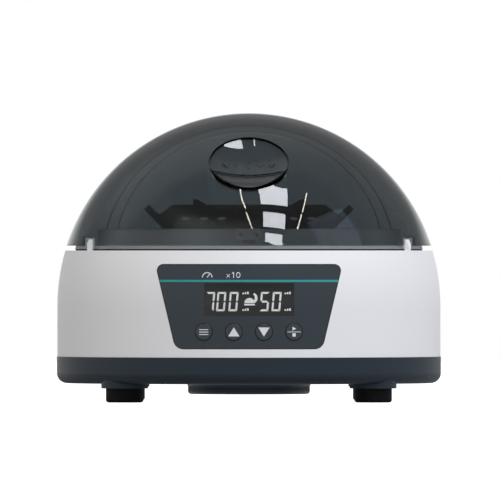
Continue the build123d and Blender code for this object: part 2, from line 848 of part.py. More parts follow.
def band_slice():
    """Flat slice round a smaller ball, kept out of the room to leave the band inside the rear."""
    tilt = math.radians(band_tilt)
    band_plane = Plane(
        origin=(0, 0, dome_centre_z), x_dir=(1, 0, 0), z_dir=(0, math.cos(tilt), math.sin(tilt))
    )
    far = lid_radius + far_past
    near_end = lid_inner_radius * math.cos(math.radians(band_outer_angle))
    far_end = lid_inner_radius * math.cos(math.radians(band_inner_angle))
    slab = block(-far, far, -far, far, near_end, far_end)
    return band_plane.location * (slab - Sphere(lid_inner_radius - band_height))


# Lid striker, which drops into the latch
striker_block_z = (striker_block_bottom_z + striker_block_top_z) / 2


def striker_screw_hole(side):
    x = side * striker_screw_x
    front = height_radius(lid_inner_radius, striker_block_z) + striker_screw_radius
    return rod_y(striker_screw_radius, -front, latch_y + striker_thickness, x, striker_block_z)


def make_lid_striker():
    half = striker_width / 2
    deep = striker_thickness / 2
    tongue = block(-half, half, latch_y - deep, latch_y + deep, striker_tip_z, striker_block_top_z)
    head = block(
        -striker_block_width / 2, striker_block_width / 2, latch_y + deep - striker_block_depth,
        latch_y + deep, striker_block_bottom_z, striker_block_top_z,
    )
    striker = tongue + head
    for side in (-1, 1):
        striker -= striker_screw_hole(side)
    return striker & ball(lid_inner_radius)


def make_striker_screws():
    back = latch_y + striker_thickness / 2
    screws = []
    for side in (-1, 1):
        one = screw(
            striker_screw_head_radius, striker_screw_head, striker_screw_radius, striker_screw_length
        )
        screws.append(Pos(side * striker_screw_x, back, striker_block_z) * Rot(-90, 0, 0) * one)
    return joined(screws)


# Hinge
def make_hinge_bracket():
    lug_low = deck_z
    bracket = block(
        -hinge_half_width, hinge_half_width, hinge_y - hinge_lug_radius, hinge_y + hinge_lug_radius,
        lug_low, lug_low + hinge_base_thickness,
    )
    spans = [
        (-hinge_half_width, -hinge_ear_outer - hinge_side_gap),
        (-hinge_middle_half, hinge_middle_half),
        (hinge_ear_outer + hinge_side_gap, hinge_half_width),
    ]
    for x_low, x_high in spans:
        bracket += block(
            x_low, x_high, hinge_y - hinge_lug_radius, hinge_y + hinge_lug_radius, lug_low, hinge_z
        )
        bracket += rod_x(hinge_lug_radius, x_low, x_high, hinge_y, hinge_z)
    bracket -= rod_x(hinge_pin_radius, -lid_radius, lid_radius, hinge_y, hinge_z)
    for side in (-1, 1):
        hole_top = hinge_z - hinge_pin_radius
        bracket -= rod(screw_clear_radius, lug_low - past, hole_top, side * hinge_screw_x, hinge_y)
    return bracket


def make_hinge_pin():
    reach = hinge_half_width + hinge_pin_overhang
    return rod_x(hinge_pin_radius, -reach, reach, hinge_y, hinge_z)


def make_hinge_screws():
    top = deck_z + hinge_base_thickness
    one = screw(screw_head_radius, screw_head_height, screw_radius, hinge_screw_length)
    return joined([Pos(side * hinge_screw_x, hinge_y, top) * one for side in (-1, 1)])


# Latch
latch_bottom_z = deck_under_z - latch_height


def make_latch_body():
    body = block(
        -latch_width / 2, latch_width / 2, latch_y - latch_depth / 2, latch_y + latch_depth / 2,
        latch_bottom_z, deck_under_z,
    )
    body = body & casing_form(case_inner_radius - running_clearance, seam_z, deck_z)
    half = striker_width / 2 + latch_gap
    deep = striker_thickness / 2 + latch_gap
    socket_floor = striker_tip_z - plunger_rest_gap - plunger_height - plunger_travel - plunger_gap
    body -= block(-half, half, latch_y - deep, latch_y + deep, socket_floor, deck_z)
    for side in (-1, 1):
        body -= rod(latch_screw_radius, latch_bottom_z - past, deck_z, side * latch_screw_x, latch_y)
    return body


def make_latch_plunger():
    half = striker_width / 2 + latch_gap - plunger_gap
    deep = striker_thickness / 2 + latch_gap - plunger_gap
    top = striker_tip_z - plunger_rest_gap
    return block(-half, half, latch_y - deep, latch_y + deep, top - plunger_height, top)


def make_latch_screws():
    one = screw(latch_screw_head_radius, latch_screw_head, latch_screw_radius, latch_screw_length)
    return joined([
        Pos(side * latch_screw_x, latch_y, latch_bottom_z) * Rot(180, 0, 0) * one for side in (-1, 1)
    ])


def make_lid_switch():
    x_low = latch_width / 2 + lid_switch_gap
    y_low = latch_y + latch_depth / 2 - lid_switch_depth
    case = block(
        x_low, x_low + lid_switch_width, y_low, y_low + lid_switch_depth,
        deck_under_z - lid_switch_height, deck_under_z,
    )
    case_bottom = deck_under_z - lid_switch_height
    lead_y = y_low + lid_switch_lead_inset
    for place in lid_switch_lead_places:
        x = x_low + place
        case += block(
            x - lid_switch_lead_width / 2, x + lid_switch_lead_width / 2, lead_y,
            lead_y + lid_switch_lead_depth, case_bottom - lid_switch_lead_length,
            case_bottom + boss_overlap,
        )
    return case


# Rotor
def rotor_outer_half(z):
    return rotor_outer_at_ref + z - rotor_ref_z


def square_frustum(z_low, z_high, half_low, half_high, corner_low, corner_high):
    low = Pos(0, 0, z_low) * RectangleRounded(2 * half_low, 2 * half_low, corner_low)
    high = Pos(0, 0, z_high) * RectangleRounded(2 * half_high, 2 * half_high, corner_high)
    return loft([low, high], ruled=True)


def make_strip_rotor():
    across = rotor_plate_thickness * math.sqrt(2)
    top = rotor_lip_z + past
    floor_top = rotor_bottom_z + rotor_floor_thickness
    outer = square_frustum(
        rotor_bottom_z, top, rotor_outer_half(rotor_bottom_z), rotor_outer_half(top),
        rotor_corner_radius, rotor_corner_radius,
    )
    corner = rotor_corner_radius - rotor_plate_thickness
    inner = square_frustum(
        floor_top, top + past, rotor_outer_half(floor_top) - across, rotor_outer_half(top + past) - across,
        corner, corner,
    )
    bowl = outer - inner
    # Lip cut square to the plates
    reach = rotor_outer_half(rotor_lip_z) - across
    low_z = rotor_lip_z - 2 * far_past
    lip = square_frustum(
        low_z, rotor_lip_z, reach + 2 * far_past, reach, rotor_corner_radius, rotor_corner_radius
    )
    bowl = (bowl & rod(lid_radius, rotor_bottom_z, low_z)) + (bowl & lip)
    # Open corners above the notch
    run = (notch_bottom_half - notch_top_half) / (rotor_lip_z - notch_bottom_z)
    high_z = rotor_lip_z + far_past
    high_half = notch_top_half - run * far_past
    wedge = make_face(Polyline(
        (notch_bottom_half, notch_bottom_z), (lid_radius, notch_bottom_z), (lid_radius, high_z),
        (high_half, high_z), close=True,
    ))
    across_x = extrude(Plane.XZ * wedge, lid_radius, both=True)
    across_y = Rot(0, 0, 90) * across_x
    corner_cut = across_x & across_y
    for k in range(4):
        bowl -= Rot(0, 0, 90 * k) * corner_cut
    # Tube holes square to each plate
    hole_half = rotor_outer_half(tube_hole_z) - across / 2
    for k in range(4):
        for n in range(tube_count):
            along = (n - (tube_count - 1) / 2) * tube_pitch
            hole = Pos(hole_half, along, tube_hole_z) * Rot(0, 135, 0) * Cylinder(
                tube_hole_radius, 3 * rotor_plate_thickness
            )
            bowl -= Rot(0, 0, 90 * k) * hole
    # Lifting ears on the front and rear plates
    ear_y = rotor_outer_half(rotor_lip_z) - across / 2
    for side_y in (-1, 1):
        for side_x in (-1, 1):
            face = make_face(Polyline(
                (side_x * (ear_x - ear_width / 2), notch_bottom_z),
                (side_x * (ear_x + ear_width / 2), notch_bottom_z),
                (side_x * (ear_x + ear_width / 2), ear_high_z),
                (side_x * (ear_x + ear_width / 2 - ear_crest_width), ear_high_z),
                (side_x * (ear_x - ear_width / 2), ear_low_z),
                close=True,
            ))
            ear = extrude(Plane.XZ * face, lid_radius, both=True)
            lean = Pos(0, side_y * ear_y, rotor_lip_z) * Rot(side_y * -45, 0, 0) * Box(
                lid_radius, ear_thickness, ear_slant_height
            )
            bowl += ear & lean
    hub = rod(hub_radius, rotor_bottom_z, hub_top_z)
    bowl += hub
    return bowl - rod(shaft_radius, rotor_bottom_z - past, hub_top_z + past)


def make_rotor_knob():
    knob = rod(knob_radius, hub_top_z, knob_top_z)
    knob = chamfer(knob.edges().group_by(Axis.Z)[-1], knob_chamfer)
    for k in range(knob_flutes):
        x, y = on_circle(knob_radius + knob_flute_radius / 2, 360 / knob_flutes * k + knob_flute_start)
        knob -= rod(knob_flute_radius, hub_top_z - past, knob_top_z + past, x, y)
    return knob + rod(shaft_radius, hub_top_z - knob_stub_length, hub_top_z)


# Motor
def make_motor_shaft():
    return rod(shaft_radius, shaft_bottom_z, hub_top_z - knob_stub_length)


stator_bottom_z = (motor_bottom_z + motor_top_z - stator_height) / 2
stator_top_z = stator_bottom_z + stator_height


def make_motor_magnet():
    middle = (stator_bottom_z + stator_top_z) / 2
    return ring(magnet_radius, shaft_radius, middle - magnet_height / 2, middle + magnet_height / 2)


def make_motor_can():
    can = rod(motor_radius, motor_bottom_z, motor_top_z)
    can -= rod(motor_radius - motor_wall, motor_bottom_z - past, motor_top_z - bearing_height)
    can -= rod(bearing_radius, motor_top_z - bearing_height - past, motor_top_z + past)
    for angle in damper_angles:
        x, y = on_circle(motor_screw_circle, angle)
        can -= rod(screw_radius, motor_top_z - bearing_height - past, motor_top_z + past, x, y)
    return can


def make_motor_end_cap():
    cap = ring(
        motor_radius - motor_wall, bearing_radius, motor_bottom_z, motor_bottom_z + bearing_height
    )
    return cap


def make_bearing(z_low):
    bearing = ring(bearing_radius, shaft_radius + running_clearance, z_low, z_low + bearing_height)
    outer, inner = bearing_radius - bearing_race, shaft_radius + bearing_race
    z_high = z_low + bearing_height
    lower = ring(outer, inner, z_low - past, z_low + bearing_groove_depth)
    return bearing - lower - ring(outer, inner, z_high - bearing_groove_depth, z_high + past)


def make_stator_core():
    outer = motor_radius - motor_wall
    core = ring(outer, stator_inner_radius, stator_bottom_z, stator_top_z)
    slot = block(
        stator_inner_radius - past, outer - stator_yoke, -stator_slot_half, stator_slot_half,
        stator_bottom_z - past, stator_top_z + past,
    )
    for k in range(stator_slot_count):
        core -= Rot(0, 0, 360 / stator_slot_count * k) * slot
    return core


def make_motor_windings():
    outer = motor_radius - motor_wall - winding_inset
    inner = stator_inner_radius + winding_inset
    coils = []
    for z_low in (stator_bottom_z - winding_height, stator_top_z):
        coils.append(ring(outer, inner, z_low, z_low + winding_height))
    return joined(coils)


def make_mount_plate():
    plate = rod(mount_plate_radius, motor_top_z, motor_top_z + mount_plate_thickness)
    plate_top = motor_top_z + mount_plate_thickness
    plate -= rod(bearing_radius - plate_bore_lip, motor_top_z - past, plate_top + past)
    for angle in damper_angles:
        x, y = on_circle(motor_screw_circle, angle)
        plate -= rod(screw_clear_radius, motor_top_z - past, plate_top + past, x, y)
        x, y = on_circle(damper_circle, angle)
        plate -= rod(screw_clear_radius, motor_top_z - past, plate_top + past, x, y)
        notch = Rot(0, 0, angle + 60) * block(
            motor_radius + plate_notch_gap, mount_plate_radius + past, -plate_notch_half, plate_notch_half,
            motor_top_z - past,
            motor_top_z + mount_plate_thickness + past,
        )
        plate -= notch
    return plate


def make_dampers():
    dampers = []
    for x, y in damper_places:
        damper = ring(damper_radius, screw_clear_radius, damper_bottom_z, damper_top_z, x, y)
        waist = ring(
            damper_radius + past, damper_radius - damper_waist_depth, damper_bottom_z + damper_rim,
            damper_top_z - damper_rim, x, y,
        )
        dampers.append(damper - waist)
    return joined(dampers)


def make_damper_screws():
    length = mount_plate_thickness + damper_height + screw_boss_radius
    one = screw(screw_head_radius, screw_head_height, screw_radius, length)
    top = motor_top_z + mount_plate_thickness
    return joined([Pos(x, y, top) * one for x, y in damper_places])


def make_motor_screws():
    one = screw(screw_head_radius, screw_head_height, screw_radius, motor_screw_length)
    top = motor_top_z + mount_plate_thickness
    places = [on_circle(motor_screw_circle, angle) for angle in damper_angles]
    return joined([Pos(x, y, top) * one for x, y in places])


# Control panel
def panel_shell(thickness):
    """Layer of this thickness just under the casing's outer surface."""
    inside = casing_form(case_radius - thickness, seam_z - past, deck_z)
    return casing_form(case_radius, seam_z, deck_z) - inside


def make_front_label():
    label = panel_shell(label_thickness) & front_prism(label_outline(label_gap))
    label -= front_prism(window_outline(-label_gap))
    for x in button_centres:
        label -= rod_y(button_radius + button_gap, -case_radius - skin_past, 0, x, button_z)
    return label


def make_display_window():
    return panel_shell(window_thickness) & front_prism(window_outline(0))


def make_button(x):
    """Round key whose face follows the panel, with a flange behind the wall and a stem."""
    flange_back = -button_flange_front + button_flange_thickness
    blank = rod_y(button_radius, -case_radius - far_past, flange_back, x, button_z)
    blank = blank & casing_form(case_radius + button_proud, seam_z, deck_z)
    front_edge = blank.edges().sort_by(Axis.Y)[0]
    blank = fillet(front_edge, button_edge_radius)
    blank += rod_y(button_flange_radius, -button_flange_front, flange_back, x, button_z)
    return blank + rod_y(button_stem_radius, flange_back, flange_back + button_stem_length, x, button_z)


def make_control_board():
    board = block(
        -board_half_width, board_half_width, -board_front, -board_front + board_thickness,
        board_bottom_z, board_top_z,
    )
    for x, z in board_screw_places:
        board -= rod_y(board_screw_radius, -board_front - past, -board_front + board_thickness + past, x, z)
    return board


def make_display_module():
    return block(
        -display_half_width, display_half_width, -display_front, -board_front,
        display_bottom_z, display_top_z,
    )


def make_key_switches():
    switches = []
    stem_tip = -button_flange_front + button_flange_thickness + button_stem_length
    tip = stem_tip + key_switch_rest_gap
    for x in button_centres:
        half = key_switch_size / 2
        one = block(
            x - half, x + half, -board_front - key_switch_height, -board_front,
            button_z - half, button_z + half,
        )
        one += rod_y(key_switch_tip_radius, tip, -board_front, x, button_z)
        switches.append(one)
    return joined(switches)


def make_board_screws():
    one = screw(board_screw_head_radius, board_screw_head, board_screw_radius, board_screw_length)
    back = -board_front + board_thickness
    return joined([Pos(x, back, z) * Rot(-90, 0, 0) * one for x, z in board_screw_places])


# Driver board
driver_board_z = base_floor_top_z + driver_standoff


def make_driver_board():
    board = block(
        -driver_half_width, driver_half_width, driver_front_y, driver_rear_y,
        driver_board_z, driver_board_z + board_thickness,
    )
    for x, y in driver_places:
        board -= rod(board_screw_radius, driver_board_z - past, driver_board_z + board_thickness + past, x, y)
    return board


def make_driver_parts():
    top = driver_board_z + board_thickness
    middle_y = (driver_front_y + driver_rear_y) / 2
    parts = [
        rod(capacitor_radius, top, top + capacitor_height, -driver_half_width / 2, middle_y),
        ring(coil_radius, coil_hole_radius, top, top + coil_height, driver_half_width / 2, middle_y),
        block(-chip_size / 2, chip_size / 2, middle_y - chip_size / 2, middle_y + chip_size / 2,
              top, top + chip_height),
        block(-header_length / 2, header_length / 2, driver_front_y + header_inset,
              driver_front_y + header_inset + header_width, top, top + header_height),
    ]
    return joined(parts)


def make_driver_screws():
    one = screw(board_screw_head_radius, board_screw_head, board_screw_radius, driver_screw_length)
    return joined([Pos(x, y, driver_board_z + board_thickness) * one for x, y in driver_places])


# Rear fittings
def make_power_jack():
    inner_face = rear_panel_y - rear_panel_wall
    jack = block(
        jack_x - jack_body_width / 2, jack_x + jack_body_width / 2, inner_face - jack_body_depth,
        inner_face, rear_fitting_z - jack_body_height / 2, rear_fitting_z + jack_body_height / 2,
    )
    nose_end = rear_panel_y + jack_nose_proud
    jack += rod_y(jack_nose_radius, inner_face, nose_end, jack_x, rear_fitting_z)
    jack -= rod_y(jack_bore_radius, nose_end - jack_bore_depth, nose_end + past, jack_x, rear_fitting_z)
    pin_back = nose_end - jack_bore_depth - boss_overlap
    return jack + rod_y(jack_pin_radius, pin_back, nose_end - jack_pin_setback, jack_x, rear_fitting_z)


rocker_pivot_y = rear_panel_y - rocker_pivot_depth


def make_switch_body():
    inner_face = rear_panel_y - switch_body_depth
    half = switch_body_width / 2
    tall = switch_body_height / 2
    body = block(
        switch_x - half, switch_x + half, inner_face, rear_panel_y,
        rear_fitting_z - tall, rear_fitting_z + tall,
    )
    body += block(
        switch_x - switch_bezel_width / 2, switch_x + switch_bezel_width / 2, rear_panel_y,
        rear_panel_y + switch_bezel_proud,
        rear_fitting_z - switch_bezel_height / 2, rear_fitting_z + switch_bezel_height / 2,
    )
    well_half = rocker_width / 2 + switch_gap
    well_tall = tall - switch_wall
    body -= block(
        switch_x - well_half, switch_x + well_half, inner_face + switch_wall,
        rear_panel_y + switch_bezel_proud + past,
        rear_fitting_z - well_tall, rear_fitting_z + well_tall,
    )
    bore = rocker_pivot_radius + running_clearance
    pin_half = rocker_pin_half() + switch_gap
    return body - rod_x(bore, switch_x - pin_half, switch_x + pin_half, rocker_pivot_y, rear_fitting_z)


def rocker_pin_half():
    return rocker_width / 2 + switch_wall


def make_switch_rocker():
    """Rocker pressed at its lower end, turned about its own pivot."""
    face = make_face(Polyline(
        (-rocker_half_height, rocker_reach),
        (0, rocker_reach - rocker_face_dip),
        (rocker_half_height, rocker_reach),
        (rocker_half_height, rocker_reach - rocker_edge_depth),
        (rocker_core_radius, -rocker_core_depth),
        (-rocker_core_radius, -rocker_core_depth),
        (-rocker_half_height, rocker_reach - rocker_edge_depth),
        close=True,
    ))
    local = extrude(face, rocker_width / 2, both=True)
    side_on = Plane(origin=(0, 0, 0), x_dir=(0, 0, -1), z_dir=(1, 0, 0))
    rocker = side_on.location * local
    rocker = Rot(rocker_tilt, 0, 0) * rocker
    rocker = Pos(switch_x, rocker_pivot_y, rear_fitting_z) * rocker
    half = rocker_pin_half()
    pivot = rod_x(rocker_pivot_radius, switch_x - half, switch_x + half, rocker_pivot_y, rear_fitting_z)
    return rocker + pivot


# Feet and fasteners
def make_foot(x, y):
    foot = rod(foot_radius, 0, foot_height, x, y)
    foot = fillet(foot.edges().group_by(Axis.Z)[0], foot_edge_radius)
    foot -= rod(foot_recess_radius, -1, foot_recess_depth, x, y)
    return foot - rod(screw_radius, 0, foot_height + past, x, y)


def make_foot_screws():
    length = base_floor_top_z - foot_recess_depth + screw_boss_radius - foot_screw_end_gap
    one = screw(screw_head_radius, screw_head_height, screw_radius, length)
    return joined([
        Pos(x, y, foot_recess_depth) * Rot(180, 0, 0) * one for x, y in foot_places.values()
    ])


def make_case_screws():
    seat = seam_z - case_screw_seat
    length = case_screw_seat + case_screw_length / 2
    one = screw(screw_head_radius, screw_head_height, screw_radius, length)
    return joined([Pos(x, y, seat) * Rot(180, 0, 0) * one for x, y in case_screw_places])


def make_chamber_screws():
    seat = flange_top_z - screw_head_height
    one = screw(screw_head_radius, screw_head_height, screw_radius, chamber_screw_length)
    return joined([Pos(x, y, seat) * one for x, y in chamber_screw_places])


write(make_base_pan(), "base_pan")
write(make_upper_housing(), "upper_housing")
write(make_chamber_bowl(), "chamber_bowl")
write(make_chamber_gasket(), "chamber_gasket")
write(make_chamber_screws(), "chamber_screws")
write(make_lid_shell(), "lid_shell")
write(make_lid_striker(), "lid_striker")
write(make_striker_screws(), "striker_screws")
write(make_hinge_bracket(), "hinge_bracket")
write(make_hinge_pin(), "hinge_pin")
write(make_hinge_screws(), "hinge_screws")
write(make_latch_body(), "latch_body")
write(make_latch_plunger(), "latch_plunger")
write(make_latch_screws(), "latch_screws")
write(make_lid_switch(), "lid_switch")
write(make_strip_rotor(), "strip_rotor")
write(make_rotor_knob(), "rotor_knob")
write(make_motor_shaft(), "motor_shaft")
write(make_motor_magnet(), "motor_magnet")
write(make_motor_can(), "motor_can")
write(make_motor_end_cap(), "motor_end_cap")
write(make_bearing(motor_top_z - bearing_height), "upper_bearing")
write(make_bearing(motor_bottom_z), "lower_bearing")
write(make_stator_core(), "stator_core")
write(make_motor_windings(), "motor_windings")
write(make_mount_plate(), "motor_mount_plate")
write(make_dampers(), "motor_dampers")
write(make_damper_screws(), "damper_screws")
write(make_motor_screws(), "motor_screws")
write(make_front_label(), "front_label")
write(make_display_window(), "display_window")
write(make_display_module(), "display_module")
write(make_control_board(), "control_board")
write(make_key_switches(), "key_switches")
write(make_board_screws(), "board_screws")
for name, x in zip(button_names, button_centres):
    write(make_button(x), name)
write(make_driver_board(), "driver_board")
write(make_driver_parts(), "driver_parts")
write(make_driver_screws(), "driver_screws")
write(make_power_jack(), "power_jack")
write(make_switch_body(), "switch_body")
write(make_switch_rocker(), "switch_rocker")
for name, (x, y) in foot_places.items():
    write(make_foot(x, y), name)
write(make_foot_screws(), "foot_screws")
write(make_case_screws(), "case_screws")
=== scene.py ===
import bmesh
import bpy
import math
from mathutils import Matrix, Vector


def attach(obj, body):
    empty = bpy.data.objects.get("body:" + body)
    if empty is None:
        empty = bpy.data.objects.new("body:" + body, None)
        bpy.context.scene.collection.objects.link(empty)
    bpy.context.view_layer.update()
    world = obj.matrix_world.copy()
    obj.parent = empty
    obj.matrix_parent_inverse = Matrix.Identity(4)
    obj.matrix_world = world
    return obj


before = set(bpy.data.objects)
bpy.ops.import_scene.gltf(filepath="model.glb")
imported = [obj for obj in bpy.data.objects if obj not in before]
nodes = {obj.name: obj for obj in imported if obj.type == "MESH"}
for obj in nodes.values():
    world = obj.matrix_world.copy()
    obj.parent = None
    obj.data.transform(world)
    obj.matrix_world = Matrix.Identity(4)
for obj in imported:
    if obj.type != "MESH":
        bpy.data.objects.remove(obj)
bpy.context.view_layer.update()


# ---------------------------------------------------------------- Base pan
# The tray that everything stands on: one moulding in dark slate plastic, with a
# round cup under the motor. It comes out of the mould with a fine spark texture.
def new_group(name, inputs, outputs):
    """Empty shader node group with plain number sockets."""
    group = bpy.data.node_groups.new(name, "ShaderNodeTree")
    for label, value in inputs:
        socket = group.interface.new_socket(label, in_out="INPUT", socket_type="NodeSocketFloat")
        socket.default_value = value
    for label in outputs:
        group.interface.new_socket(label, in_out="OUTPUT", socket_type="NodeSocketFloat")
    return group, group.nodes.new("NodeGroupInput"), group.nodes.new("NodeGroupOutput")


def make_moulded_skin():
    """Slow drift of tone over a moulding, and the fine grain of its mould."""
    group, enter, leave = new_group(
        "moulded_skin", [("Grain", 2600.0), ("Drift", 16.0)], ["Tone", "Height"]
    )
    place = group.nodes.new("ShaderNodeTexCoord")
    grain = group.nodes.new("ShaderNodeTexNoise")
    grain.inputs["Detail"].default_value = 2.0
    drift = group.nodes.new("ShaderNodeTexNoise")
    drift.inputs["Detail"].default_value = 3.0
    for noise, label in ((grain, "Grain"), (drift, "Drift")):
        group.links.new(place.outputs["Object"], noise.inputs["Vector"])
        group.links.new(enter.outputs[label], noise.inputs["Scale"])
    group.links.new(drift.outputs["Fac"], leave.inputs["Tone"])
    group.links.new(grain.outputs["Fac"], leave.inputs["Height"])
    return group


moulded_skin = make_moulded_skin()


def new_material(name, roughness, specular):
    """Material with one Principled shader, and the parts that a finish is built from."""
    material = bpy.data.materials.new(name)
    material.use_nodes = True
    shader = material.node_tree.nodes["Principled BSDF"]
    shader.inputs["Roughness"].default_value = roughness
    shader.inputs["Specular IOR Level"].default_value = specular
    return material, shader, material.node_tree.nodes, material.node_tree.links


def tinted(nodes_of, links, mask, colour, spread):
    """Colour that goes from a little darker to a little lighter with a mask."""
    mix = nodes_of.new("ShaderNodeMix")
    mix.data_type = "RGBA"
    mix.inputs["A"].default_value = [c * (1 - spread) for c in colour] + [1]
    mix.inputs["B"].default_value = [min(c * (1 + spread), 1) for c in colour] + [1]
    links.new(mask, mix.inputs["Factor"])
    return mix.outputs["Result"]


def spread_value(nodes_of, links, mask, low, high):
    """Number that goes from low to high with a mask."""
    span = nodes_of.new("ShaderNodeMapRange")
    span.inputs["To Min"].default_value = low
    span.inputs["To Max"].default_value = high
    links.new(mask, span.inputs["Value"])
    return span.outputs["Result"]


def raised_by(nodes_of, links, height, strength, distance, shader):
    """Lets a height texture lean the surface of a finish."""
    bump = nodes_of.new("ShaderNodeBump")
    bump.inputs["Strength"].default_value = strength
    bump.inputs["Distance"].default_value = distance
    links.new(height, bump.inputs["Height"])
    links.new(bump.outputs["Normal"], shader.inputs["Normal"])


def moulded(name, colour, roughness, specular=0.5, grain=2600.0, depth=0.00003, spread=0.04):
    """Moulded plastic or rubber."""
    grain_strength, sheen_spread = 0.35, 0.05
    material, shader, made, links = new_material(name, roughness, specular)
    skin = made.new("ShaderNodeGroup")
    skin.node_tree = moulded_skin
    skin.inputs["Grain"].default_value = grain
    links.new(tinted(made, links, skin.outputs["Tone"], colour, spread), shader.inputs["Base Color"])
    rough = spread_value(
        made, links, skin.outputs["Tone"], roughness - sheen_spread, roughness + sheen_spread
    )
    links.new(rough, shader.inputs["Roughness"])
    raised_by(made, links, skin.outputs["Height"], grain_strength, depth, shader)
    return material


def dress(material, *names):
    """Gives a material to every slot of the named pieces."""
    for name in names:
        for slot in nodes[name].material_slots:
            slot.material = material


slate_plastic = moulded("slate_plastic", (0.012, 0.021, 0.031), 0.42, 0.27)
dress(slate_plastic, "base_pan")


# ---------------------------------------------------------------- Feet
# Four turned feet of soft black rubber, each held up into a boss of the base pan
# by one screw through its middle.
black_rubber = moulded("black_rubber", (0.004, 0.004, 0.0043), 0.6, 0.1, grain=1800.0, depth=0.00006)
dress(black_rubber, "foot_front_left", "foot_front_right", "foot_rear_left", "foot_rear_right")
dress(black_rubber, "motor_dampers")


# ---------------------------------------------------------------- Screws
# Zinc plated pan head screws, all with a hex socket.
def make_drawn_metal():
    """Fine lines along one way, as drawing, turning or brushing leaves them."""
    group, enter, leave = new_group(
        "drawn_metal", [("Along X", 1.0), ("Along Y", 1.0), ("Along Z", 0.04), ("Lines", 1500.0)],
        ["Tone", "Height"],
    )
    place = group.nodes.new("ShaderNodeTexCoord")
    stretch = group.nodes.new("ShaderNodeCombineXYZ")
    for axis in "XYZ":
        group.links.new(enter.outputs["Along " + axis], stretch.inputs[axis])
    drawn = group.nodes.new("ShaderNodeVectorMath")
    drawn.operation = "MULTIPLY"
    group.links.new(place.outputs["Object"], drawn.inputs[0])
    group.links.new(stretch.outputs["Vector"], drawn.inputs[1])
    lines = group.nodes.new("ShaderNodeTexNoise")
    lines.inputs["Detail"].default_value = 3.0
    group.links.new(drawn.outputs["Vector"], lines.inputs["Vector"])
    group.links.new(enter.outputs["Lines"], lines.inputs["Scale"])
    group.links.new(lines.outputs["Fac"], leave.inputs["Height"])
    patches = group.nodes.new("ShaderNodeTexNoise")
    patches.inputs["Scale"].default_value = 90.0
    group.links.new(place.outputs["Object"], patches.inputs["Vector"])
    group.links.new(patches.outputs["Fac"], leave.inputs["Tone"])
    return group


drawn_metal = make_drawn_metal()


def metal(name, colour, roughness, stretch=(1.0, 1.0, 0.04), lines=1500.0, depth=0.00002, spread=0.12):
    """Bare metal with drawn, turned or brushed lines."""
    line_strength, sheen_spread = 0.4, 0.08
    material, shader, made, links = new_material(name, roughness, 0.5)
    shader.inputs["Metallic"].default_value = 1.0
    skin = made.new("ShaderNodeGroup")
    skin.node_tree = drawn_metal
    for axis, value in zip("XYZ", stretch):
        skin.inputs["Along " + axis].default_value = value
    skin.inputs["Lines"].default_value = lines
    links.new(tinted(made, links, skin.outputs["Tone"], colour, spread), shader.inputs["Base Color"])
    rough = spread_value(
        made, links, skin.outputs["Height"], roughness - sheen_spread, roughness + sheen_spread
    )
    links.new(rough, shader.inputs["Roughness"])
    raised_by(made, links, skin.outputs["Height"], line_strength, depth, shader)
    return material


screw_steel = metal("screw_steel", (0.45, 0.45, 0.46), 0.34, stretch=(1.0, 1.0, 1.0))
dress(screw_steel, *[name for name in nodes if name.endswith("_screws")])


# ---------------------------------------------------------------- Motor
# A can motor drawn from sheet steel, hung by a plated plate on three rubber
# dampers. Its laminations are stacked, and its coils are enamelled wire.
motor_steel = metal("motor_steel", (0.42, 0.42, 0.43), 0.32)
dress(motor_steel, "motor_can", "motor_end_cap")
plated_steel = metal("plated_steel", (0.6, 0.6, 0.59), 0.38, stretch=(0.05, 1.0, 1.0))
dress(plated_steel, "motor_mount_plate")
ground_steel = metal("ground_steel", (0.55, 0.55, 0.56), 0.2, stretch=(1.0, 1.0, 1.0), lines=2500.0)
dress(ground_steel, "motor_shaft", "upper_bearing", "lower_bearing", "hinge_pin")
sintered = moulded("sintered_magnet", (0.05, 0.05, 0.055), 0.5, 0.5, grain=3500.0, depth=0.00005)
dress(sintered, "motor_magnet")


def banded(name, colour, roughness, bands, depth, metallic):
    """Stacked sheets or laid wires: even bands one above another."""
    waver, tone_spread, band_strength = 0.3, 0.25, 0.6
    material, shader, made, links = new_material(name, roughness, 0.5)
    shader.inputs["Metallic"].default_value = metallic
    place = made.new("ShaderNodeTexCoord")
    wave = made.new("ShaderNodeTexWave")
    wave.bands_direction = "Z"
    wave.inputs["Scale"].default_value = bands
    wave.inputs["Distortion"].default_value = waver
    links.new(place.outputs["Object"], wave.inputs["Vector"])
    tone = tinted(made, links, wave.outputs["Fac"], colour, tone_spread)
    links.new(tone, shader.inputs["Base Color"])
    raised_by(made, links, wave.outputs["Fac"], band_strength, depth, shader)
    return material


dress(banded("stacked_sheets", (0.3, 0.3, 0.31), 0.4, 320.0, 0.0001, 1.0), "stator_core")
dress(banded("enamelled_wire", (0.45, 0.16, 0.06), 0.3, 380.0, 0.0002, 0.6), "motor_windings")


